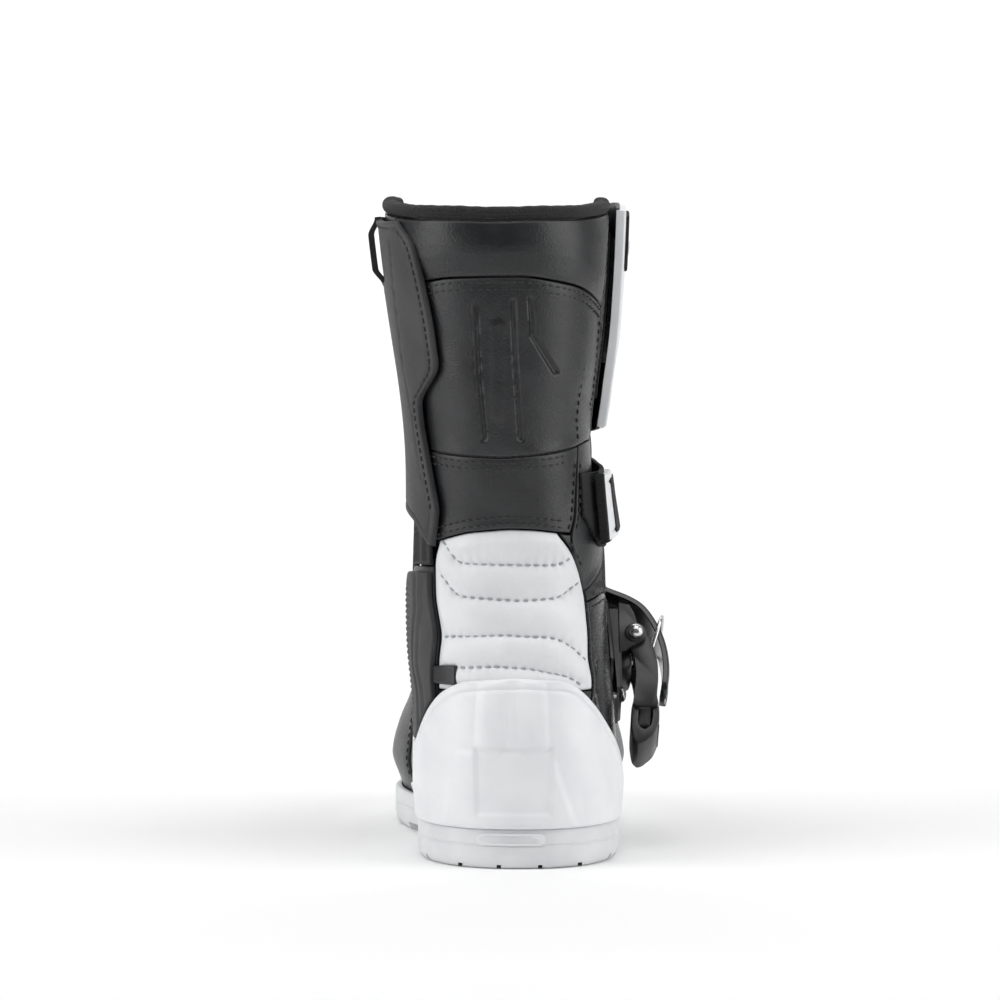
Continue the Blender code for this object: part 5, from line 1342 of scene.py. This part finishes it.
def make_lever():
    arm = (arc((0, 0), 4.6, 185, 20, 24)
           + [(7.2, -5.0), (8.6, -12.0), (8.6, -20.0), (7.8, -27.0), (8.6, -32.0)]
           + [(-1.8, -32.0), (-0.8, -26.0), (0.2, -18.0), (-0.6, -9.0)])
    # the finger loop's outer and inner outlines, with the window between them
    outer = [(-0.8, -26.0), (8.0, -26.0), (8.8, -32.0), (8.6, -38.0), (6.4, -43.5), (2.6, -47.0),
             (0.2, -48.0), (-1.8, -46.0), (-2.6, -39.5), (-2.2, -32.0)]
    window = [(0.8, -30.0), (6.0, -30.0), (6.3, -35.0), (5.4, -39.5), (2.8, -41.5), (0.2, -39.5)]
    body = prism("buckle_lever_moulded", outer, -LOOP_HALF, LOOP_HALF, "plastic", 0.9)
    tool = prism("cut", window, -20, 20, "plastic", 0.01)
    boolean(body, [tool])
    for sign, side_name in ((1, "front"), (-1, "rear")):
        cheek = prism(f"buckle_lever_cheek_{side_name}", arm, sign * (ARM_HALF[0] - 0.1), sign * ARM_HALF[1] * 1.0,
                      "plastic", 0.45)
        settle(cheek, "lever")
        boss = turned(f"lever_boss_{side_name}", [(2.0, sign * 8.6), (3.4, sign * 8.6), (3.7, sign * 8.9), (3.7, sign * 9.5),
                                                 (2.0, sign * 9.5)], PIVOT, SIDE, "plastic")
        settle(boss, "lever")
    for k in range(4):
        up, out = -38.6 - 1.7 * k, 8.1 - 0.95 * k
        rib = prism(f"lever_grip_{k}", [(out - 0.4, up - 0.4), (out + 0.5, up - 0.4), (out + 0.5, up + 0.4),
                                        (out - 0.4, up + 0.4)], -8.4, 8.4, "plastic", 0.2)
        settle(rib, "lever")
    bevel(body, 0.35)
    settle(body, "lever", ["buckle_lever"])


def make_bail():
    corner, path = 1.6, []
    for sign in (1, -1):
        ends = [
            (*BAIL_PIVOT, sign * (ARM_HALF[1] - 0.3)), (*BAIL_PIVOT, sign * (BAIL_HALF + 0.9)),
            (BAIL_PIVOT[0] + 0.3, BAIL_PIVOT[1] + corner, sign * BAIL_HALF),
            (BAIL_BAR[0] - 0.3, BAIL_BAR[1] - corner, sign * BAIL_HALF),
            (*BAIL_BAR, sign * (BAIL_HALF - corner)),
        ]
        path += ends if sign > 0 else ends[::-1]
    settle(swept("buckle_wire_bail", [buckle_point(*p) for p in path], BAIL_WIRE, "steel", 16, 0.4),
           "bail", ["buckle_bail"])


STRAP_ROUTE = [
    (4.46, 70.0, 7.0), (4.10, 80.0, 7.5), (3.75, 90.0, 8.5), (3.50, 99.0, 9.5),
    (3.08, 104.5, 9.5), (2.70, 102.0, 9.0), (2.35, 96.0, 8.0),
]
TAIL = [(2.6, 15.0), (6.2, 9.0), (9.2, 1.0), (10.6, -7.0), (10.7, -14.0), (9.9, -20.0), (9.3, -23.0)]
STRAP_THICK, STRAP_CLEARANCE = 2.6, 1.0


def strap_frames(count=240):
    """Centre, width direction, outward direction and half width along the instep strap."""
    line = [(skin(u, z, STRAP_CLEARANCE), half) for u, z, half in STRAP_ROUTE]
    line += [(buckle_point(out, up, 0.0), STRAP_HALF) for out, up in TAIL]
    points = np.array([p for p, _ in line])
    along = np.concatenate([[0], np.cumsum(np.linalg.norm(np.diff(points, axis=0), axis=1))])
    table = np.column_stack([along, points, [h for _, h in line]])
    s = np.linspace(0, along[-1], count)
    smooth = np.column_stack([curve(table, c)(s) for c in (1, 2, 3, 4)])
    points, halves = smooth[:, :3], smooth[:, 3]
    tangents = np.gradient(points, axis=0)
    tangents /= np.linalg.norm(tangents, axis=1, keepdims=True)
    frames = []
    for k in range(count):
        p, t = points[k], tangents[k]
        outward = normal(p)
        share = smooth_step((k / (count - 1) - 0.52) / 0.2)
        width = np.cross(outward, t)
        width /= np.linalg.norm(width)
        if width @ SIDE < 0:
            width = -width
        width = width * (1 - share) + SIDE * share
        width -= t * (width @ t)
        width /= np.linalg.norm(width)
        out = np.cross(t, width)
        if out @ outward < 0:
            out = -out
        reach = np.linspace(-halves[k], halves[k], 7)[:, None] * width
        while field(p + reach).min() < STRAP_CLEARANCE:
            p = p + out * 0.1
        frames.append((p, width, out, halves[k], s[k]))
    return frames


def make_strap():
    frames = strap_frames()
    total = frames[-1][4]
    rings, flat = [], []
    profile = np.array([(-1, 0.12), (-0.94, 0.0), (0.94, 0.0), (1, 0.12), (1, 0.62), (0.985, 0.78), (0.95, 0.92), (0.88, 0.99),
                        (0.80, 1.0), (0.74, 0.96), (0.68, 0.80), (0.3, 0.78), (0.0, 0.78), (-0.3, 0.78), (-0.68, 0.80), (-0.74, 0.96),
                        (-0.80, 1.0), (-0.88, 0.99), (-0.95, 0.92), (-0.985, 0.78), (-1, 0.62)])
    for p, width, out, half, s in frames:
        end = min(s, total - s) / 5.0
        size = math.sqrt(max(0.05, 1 - (1 - min(1.0, end)) ** 2))
        tooth = 0.16 * (0.5 + 0.5 * math.cos(s * 2 * math.pi / 3.2)) ** 3 * smooth_step((s - total * 0.5) / 10)
        lift = profile[:, 1] + tooth * (np.abs(profile[:, 0]) < 0.7) * (profile[:, 1] > 0.5)
        rings.append(p + np.outer(profile[:, 0] * half * (0.35 + 0.65 * size), width)
                     + np.outer(lift * STRAP_THICK, out))
        flat.append(np.stack([np.full(len(profile), s), profile[:, 0] * half], -1))
    points, faces = stack_rings(rings)
    strap = make_object("instep_ladder_strap", points, faces, "strap", np.concatenate(flat))
    settle(strap, "instep_strap", ["ladder_strap"])
    p, width, out, _, _ = frames[14]
    screw = [(1.2, 1.6), (3.1, 1.9), (3.3, 2.3), (2.9, 3.0), (1.8, 3.35), (0.2, 3.45)]
    settle(turned("strap_end_rivet", screw, p, out, "steel"), "instep_strap")


# --- stitching --------------------------------------------------------------------------------------------------------
def make_stitching():
    shaft = ("shaft_stitching", "black_thread", "shaft")
    foot = ("foot_stitching", "black_thread", "foot")
    # Quilt rows: white thread coloured grey, painted shade of the needle holes between the stitches.
    white = ("quilt_stitching", "white_thread", FLEX_ZONE)
    for shift in (2.0, 4.6):
        seam(shaft, CALF_TOP, -0.60, 0.84, -shift)
        seam(shaft, BAND_TOP, -0.60, 0.46, -shift)
        seam(shaft, FLEX_TOP, -0.58, 0.42, 0.4 + shift)
    side_seam(("facing_stitching", "black_thread", FLEX_ZONE), flex_lateral_u, 112.0, 122.0, 1.7)
    side_seam(shaft, cuff_rear_u, 126.0, 152.0, 2.2)
    side_seam(shaft, cuff_rear_u, 126.0, 152.0, -2.2)
    side_seam(shaft, GUSSET_U, 163.0, 206.0, -2.4)
    back_seam(shaft, [(24.7, 188.7), (22.8, 176.0), (22.0, 168.0), (22.6, 160.0)])
    side_seam(shaft, cuff_edge_u, 134.0, 240.0, -2.4, lift=3.75)
    side_seam(foot, vamp_u, 22.0, 92.0, 2.6)
    side_seam(foot, vamp_u, 22.0, 92.0, 5.4)
    side_seam(foot, vamp_medial, 22.0, 92.0, -2.6)
    seam(foot, QUARTER_TOP, 0.55, 1.9, -2.4)
    seam(foot, shifted(TOE_CAP_TOP, 3.0), 2.1, 3.9, 0.0)
    for row in QUILT_ROWS[1:5]:
        x = np.linspace(-31.0, 27.5, 90)
        z = row(x)
        keep = [(a, b) for a, b in zip(x, z) if 67.5 < b < FLEX_TOP(0.0) - 1.5
                and straight([(60, -30.6), (72, -31.2), (80, -30.7), (86, -29.8), (100, -32.2), (122, -30.4)])(b) + 1.2 < a
                < straight([(60, 26.8), (70, 28.6), (77, 27.0), (86, 27.0), (101, 25.6), (110, 23.6), (117, 21.2), (122, 17.8)])(b) - 1.2]
        back_seam(white, keep, lift=0.22, pitch=3.2, length=2.5, radius=0.34)
    build_stitches()


# --- what stays hidden inside ----------------------------------------------------------------------------------------
def dress(node, look):
    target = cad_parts[node]
    target.data.materials.clear()
    target.data.materials.append(LOOKS[look])


def make_inside():
    for node, look in (("insole_board", "board"), ("shank", "steel"), ("heel_stiffener", "board"),
                       ("toe_puff", "board"), ("strap_anchor", "plastic")):
        dress(node, look)
    ring_low, ring_high = outline(-6.8, count=200), outline(-6.8, count=200)
    rings = []
    for inset, z in ((0.6, 13.3), (0.0, 13.9), (0.0, 16.2), (0.5, 16.8), (1.4, 17.1), (6.0, 17.4), (12.0, 17.0)):
        ring = outline(-6.8 - inset, count=200)
        ring[:, 2] = z + (0.9 * smooth_step((60 - np.abs(ring[:, 1] - 95)) / 40) if inset > 1 else 0)
        rings.append(ring)
    assert len(ring_low) == len(ring_high)
    points, faces = stack_rings(rings)
    flat = points[:, :2]
    bed = make_object("shaped_footbed", points, faces, "bed", flat)
    settle(bed, "foot", ["footbed"])


LOOKS["bed"] = pile("footbed_cloth", (0.03, 0.03, 0.034), (0.10, 0.10, 0.105), 1.6, 0.0004, 0.2)


# --- scene ------------------------------------------------------------------------------------------------------------
def make_stage():
    """A pale floor that sweeps up behind the boot, soft boxes on both sides, and the camera."""
    low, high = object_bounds()
    centre_y = (low.y + high.y) / 2
    profile = [(-3.0, 0.0), (1.2, 0.0)]
    for k in range(1, 25):
        a = math.radians(90 * k / 24)
        profile.append((1.2 + 1.2 * math.sin(a), 1.2 - 1.2 * math.cos(a)))
    profile.append((2.4, 4.0))
    points, faces = [], []
    for k, (y, z) in enumerate(profile):
        points += [(-4.0, centre_y + y, z), (4.0, centre_y + y, z)]
        if k:
            faces.append((2 * k - 2, 2 * k - 1, 2 * k + 1, 2 * k))
    mesh = bpy.data.meshes.new("floor")
    mesh.from_pydata(points, [], faces)
    mesh.shade_smooth()
    n = Nodes("pale_floor")
    place = n.add("ShaderNodeTexCoord").outputs["Object"]
    cloud = n.noise(place, 3.0, 3.0)
    mesh.materials.append(n.finish(n.blend(cloud, (0.90, 0.90, 0.90), (0.93, 0.93, 0.93)), n.spread(cloud, 0.75, 0.9)))
    floor = bpy.data.objects.new("floor", mesh)
    bpy.context.scene.collection.objects.link(floor)

    world = bpy.data.worlds.new("studio")
    bpy.context.scene.world = world
    world.use_nodes = True
    world.node_tree.nodes["Background"].inputs["Color"].default_value = (1, 1, 1, 1)
    world.node_tree.nodes["Background"].inputs["Strength"].default_value = WORLD
    # the sky behind the floor's edge is pale to look at, and lights the boot only a little
    tree = world.node_tree
    seen = tree.nodes.new("ShaderNodeBackground")
    seen.inputs["Strength"].default_value = 0.85
    mix, path = tree.nodes.new("ShaderNodeMixShader"), tree.nodes.new("ShaderNodeLightPath")
    tree.links.new(path.outputs["Is Camera Ray"], mix.inputs[0])
    tree.links.new(tree.nodes["Background"].outputs[0], mix.inputs[1])
    tree.links.new(seen.outputs[0], mix.inputs[2])
    tree.links.new(mix.outputs[0], tree.nodes["World Output"].inputs["Surface"])

    for name, place, size, power, target in LAMPS:
        lamp = bpy.data.lights.new(name, "AREA")
        lamp.shape, lamp.size, lamp.size_y, lamp.energy = "RECTANGLE", size[0], size[1], power
        holder = bpy.data.objects.new(name, lamp)
        holder.location = place
        holder.rotation_euler = (Vector(target) - Vector(place)).to_track_quat("-Z", "Y").to_euler()
        bpy.context.scene.collection.objects.link(holder)

    camera = bpy.data.cameras.new("camera")
    camera.lens, camera.sensor_width, camera.clip_start, camera.clip_end = LENS, 36.0, 0.05, 30.0
    holder = bpy.data.objects.new("camera", camera)
    holder.location = to_world(CAMERA)
    holder.rotation_euler = (math.radians(90 - CAMERA_PITCH), 0, 0)
    bpy.context.scene.collection.objects.link(holder)
    bpy.context.scene.camera = holder
    bpy.context.scene.view_settings.view_transform = "Standard"


WORLD = 0.14
BOOT = (0, 0, 0.13)
LAMPS = [
    # name, place in metres, size, watts, what it faces
    ("left_box", (-1.5, -0.6, 0.8), (1.3, 1.7), 17.5, BOOT),
    ("right_box", (1.5, -0.45, 0.7), (1.3, 1.7), 16.5, BOOT),
    ("top_box", (0.0, -0.5, 1.9), (1.8, 1.2), 19, BOOT),
    ("backdrop_box", (0.0, 1.15, 1.9), (2.4, 0.5), 24, (0, 2.3, 0.35)),
]
CAMERA, CAMERA_PITCH, LENS = (-7.07, -1250.0, 182.0), 2.0, 121.0

make_outsole()
make_foot()
make_shaft()
make_flap()
make_mid_strap()
make_base()
make_fasteners()
make_lever()
make_bail()
make_strap()
make_stitching()
make_inside()
make_stage()

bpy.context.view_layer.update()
